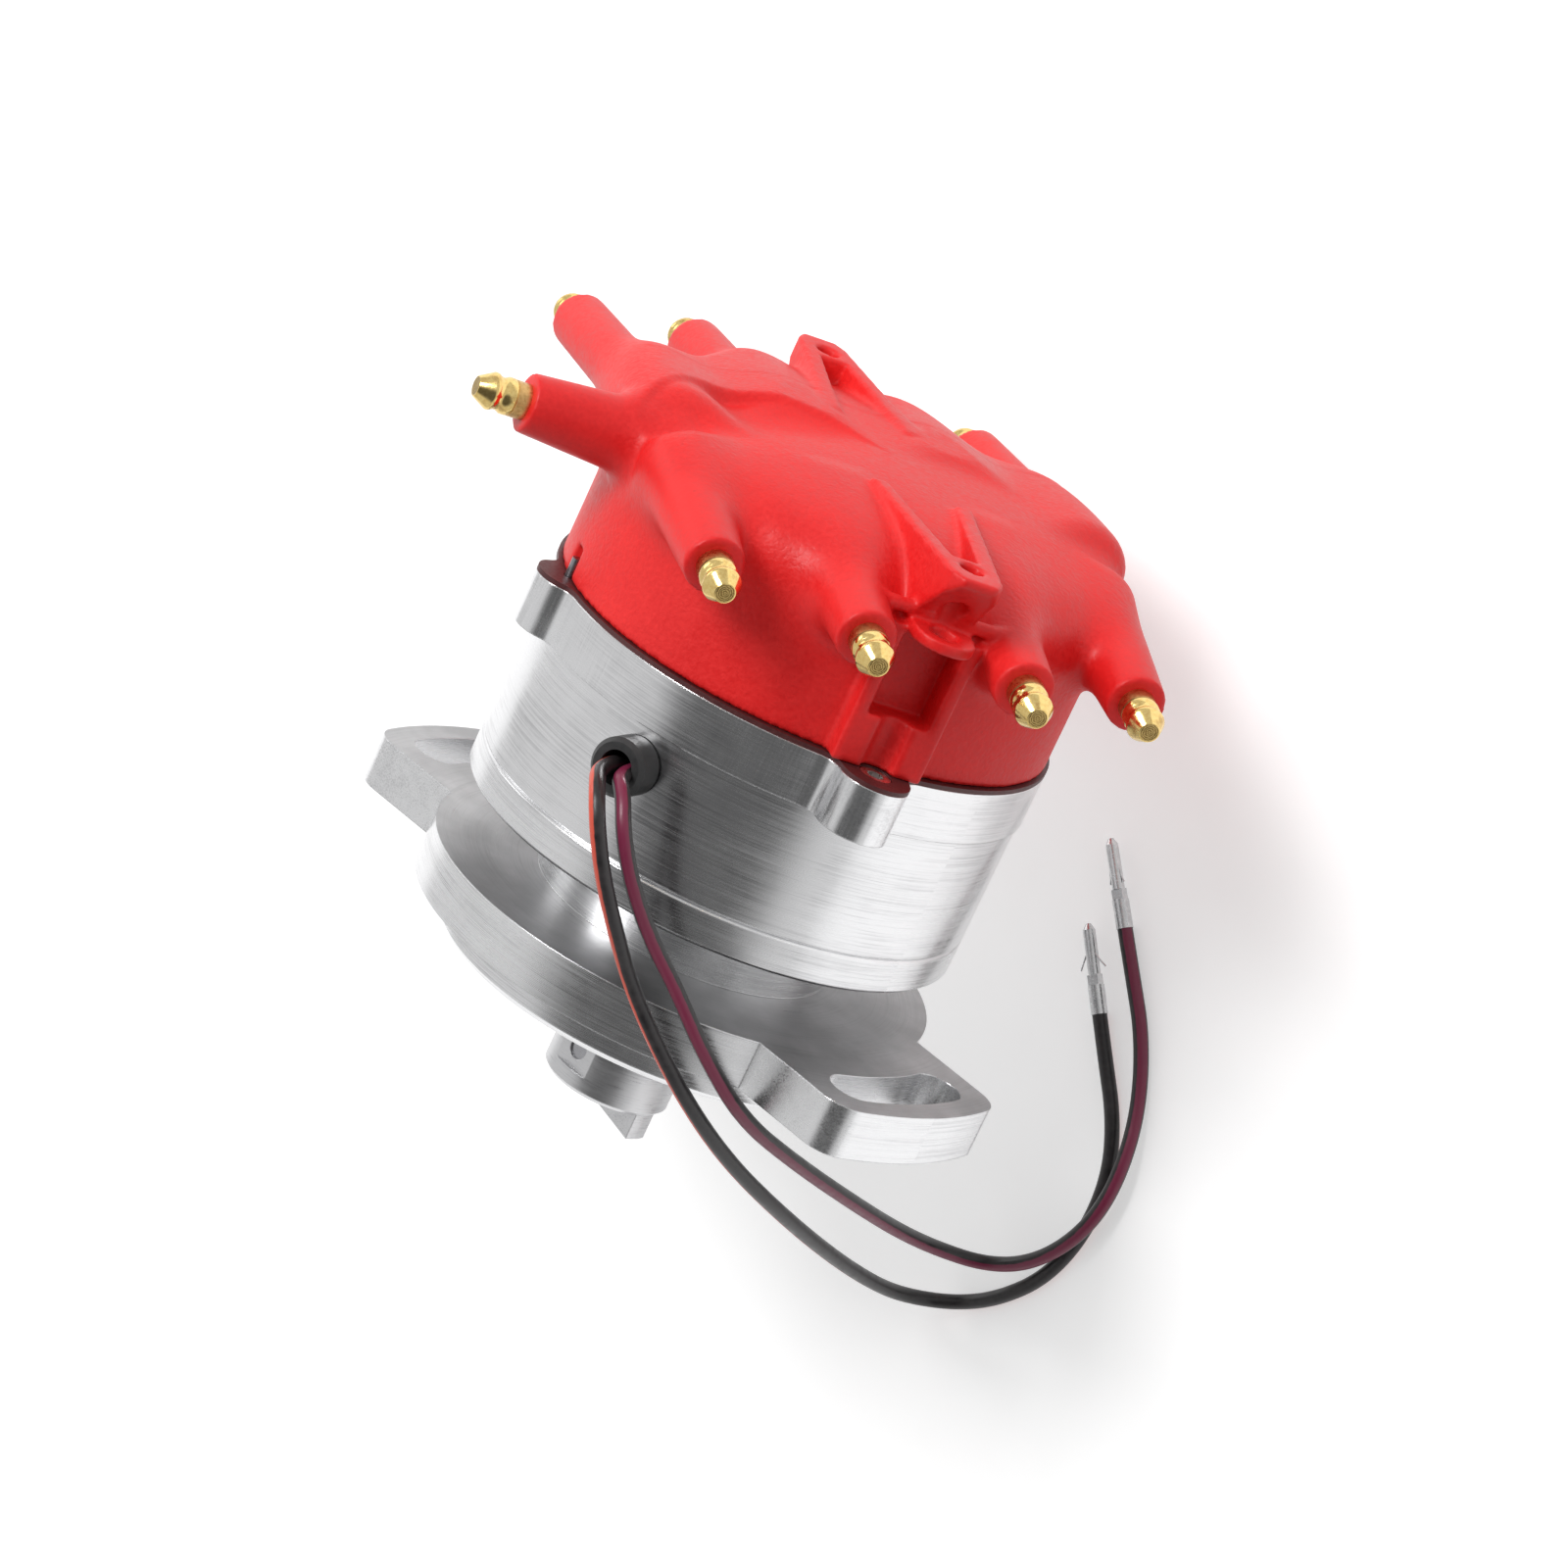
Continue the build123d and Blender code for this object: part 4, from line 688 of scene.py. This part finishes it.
def pin_details(name, points, spread):
    """The two spring barbs of a contact, and the folded wings that grip its lead."""
    end, before = Vector(points[-1]), Vector(points[-2])
    ahead = (end - before).normalized()
    side = ahead.cross(Vector((0, 0, 1))).normalized()
    data = tube(name, BARB_RADIUS, 2, tin)

    def add_pair(*runs):
        for hand, run in zip((1, -1), runs):
            add_run(data, [end + ahead * along + side * (hand * across) + Vector((0, 0, up))
                           for along, across, up in run])

    # along the contact, across it and up
    barb = ((12.0, 0.7, 0.3), (11.0, 1.2, 0.4), (9.8, spread * 0.7, 0.3), (8.6, spread, 0.1))
    add_pair(barb, barb)
    for along, stagger, size in WINGS:
        wing = ((size, -0.4), (size * 0.98, 0.7), (size * 0.55, 1.22), (0.08, 0.95))
        add_pair(*[[(along + shift, across, up) for across, up in wing]
                   for shift in (stagger, -stagger)])
    piece = show(name, data)
    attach(piece, "housing")
    return piece


def lead(name, points, node, tilt, material, barbs):
    data = tube(name, LEAD_RADIUS, 5, material)
    data.resolution_u = 10
    add_run(data, points, tilt)
    piece = show(name, data)
    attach(piece, "housing")
    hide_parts(node)
    pin_details(name + "_barbs", points, barbs)


orange = lead_material("lead_orange", (0.62, 0.075, 0.04), 0.13, 0.085)
crimson = lead_material("lead_crimson", (0.19, 0.018, 0.055), 0.02, 0.12)
lead("lead_wire_1", LEAD_1, "lead_1", 1.1, orange, 2.9)
lead("lead_wire_2", LEAD_2, "lead_2", 0.0, crimson, 1.6)


# ---------------------------------------------------------------- floor, light and background
FLOOR_PLACE = -0.0742
FLOOR_HALF = 4
FLOOR_GLOW = 0.45
ROOM_LIGHT, DIM_LIGHT = 0.68, 0.11
DIM_TOWARD = (-0.50, 0.20, 0.84)
LAMP_AIM = (0, -0.05, 0)
DIM_START, DIM_END = 0.70, 0.90           # cosines of the angle from there


def floor_material():
    """Pale paint that glows for rays from the camera, from a mirror or through glass."""
    n = Nodes("floor", Roughness=0.8, Specular_IOR_Level=0.1)
    n.colour(n.ramp(n.noise(30.0, 2.0), (0.3, (0.69, 0.69, 0.69)), (0.7, (0.71, 0.71, 0.71))))
    rays = n.add("ShaderNodeLightPath").outputs
    mirrored = n.math("MAXIMUM", rays["Is Camera Ray"], rays["Is Glossy Ray"])
    seen = n.math("MAXIMUM", mirrored, rays["Is Transmission Ray"])
    glow = n.add("ShaderNodeEmission")
    n.link(n.times(seen, FLOOR_GLOW), glow.inputs["Strength"])
    both = n.add("ShaderNodeAddShader")
    n.link(n.shader.outputs[0], both.inputs[0])
    n.link(glow.outputs[0], both.inputs[1])
    n.link(both.outputs[0], n.tree.nodes["Material Output"].inputs["Surface"])
    return n.material


def add_floor():
    data = bpy.data.meshes.new("floor")
    mesh = bmesh.new()
    bmesh.ops.create_grid(mesh, x_segments=1, y_segments=1, size=FLOOR_HALF)
    mesh.to_mesh(data)
    mesh.free()
    data.materials.append(floor_material())
    floor = show("floor", data)
    floor.location.z = FLOOR_PLACE


def lamp(name, place, size, power):
    """An area lamp of that many watts, pointed at the object."""
    data = bpy.data.lights.new(name, "AREA")
    data.shape = "RECTANGLE"
    data.size, data.size_y = size
    data.energy = power
    piece = show(name, data)
    piece.location = place
    toward = Vector(LAMP_AIM) - Vector(place)
    piece.rotation_euler = toward.to_track_quat("-Z", "Y").to_euler()


def add_room():
    """A room with pale walls, dimmer in the part of the ceiling that the camera side faces."""
    world = bpy.data.worlds.new("world")
    scene.world = world
    world.use_nodes = True
    tree = world.node_tree
    background = tree.nodes["Background"]
    background.inputs["Color"].default_value = (1, 1, 1, 1)
    where = tree.nodes.new("ShaderNodeTexCoord")
    toward = tree.nodes.new("ShaderNodeVectorMath")
    toward.operation = "DOT_PRODUCT"
    toward.inputs[1].default_value = Vector(DIM_TOWARD).normalized()
    level = tree.nodes.new("ShaderNodeMapRange")
    level.interpolation_type = "SMOOTHSTEP"
    limits = {"From Min": DIM_START, "From Max": DIM_END, "To Min": ROOM_LIGHT, "To Max": DIM_LIGHT}
    for key, number in limits.items():
        level.inputs[key].default_value = number
    tree.links.new(where.outputs["Generated"], toward.inputs[0])
    tree.links.new(toward.outputs["Value"], level.inputs["Value"])
    tree.links.new(level.outputs["Result"], background.inputs["Strength"])


add_floor()
lamp("key", (0.5, -1.4, 2.25), (1.0, 1.0), 46)
lamp("side", (2.0, -0.6, 0.9), (1.0, 0.8), 5)
add_room()

scene.view_settings.view_transform = "Standard"
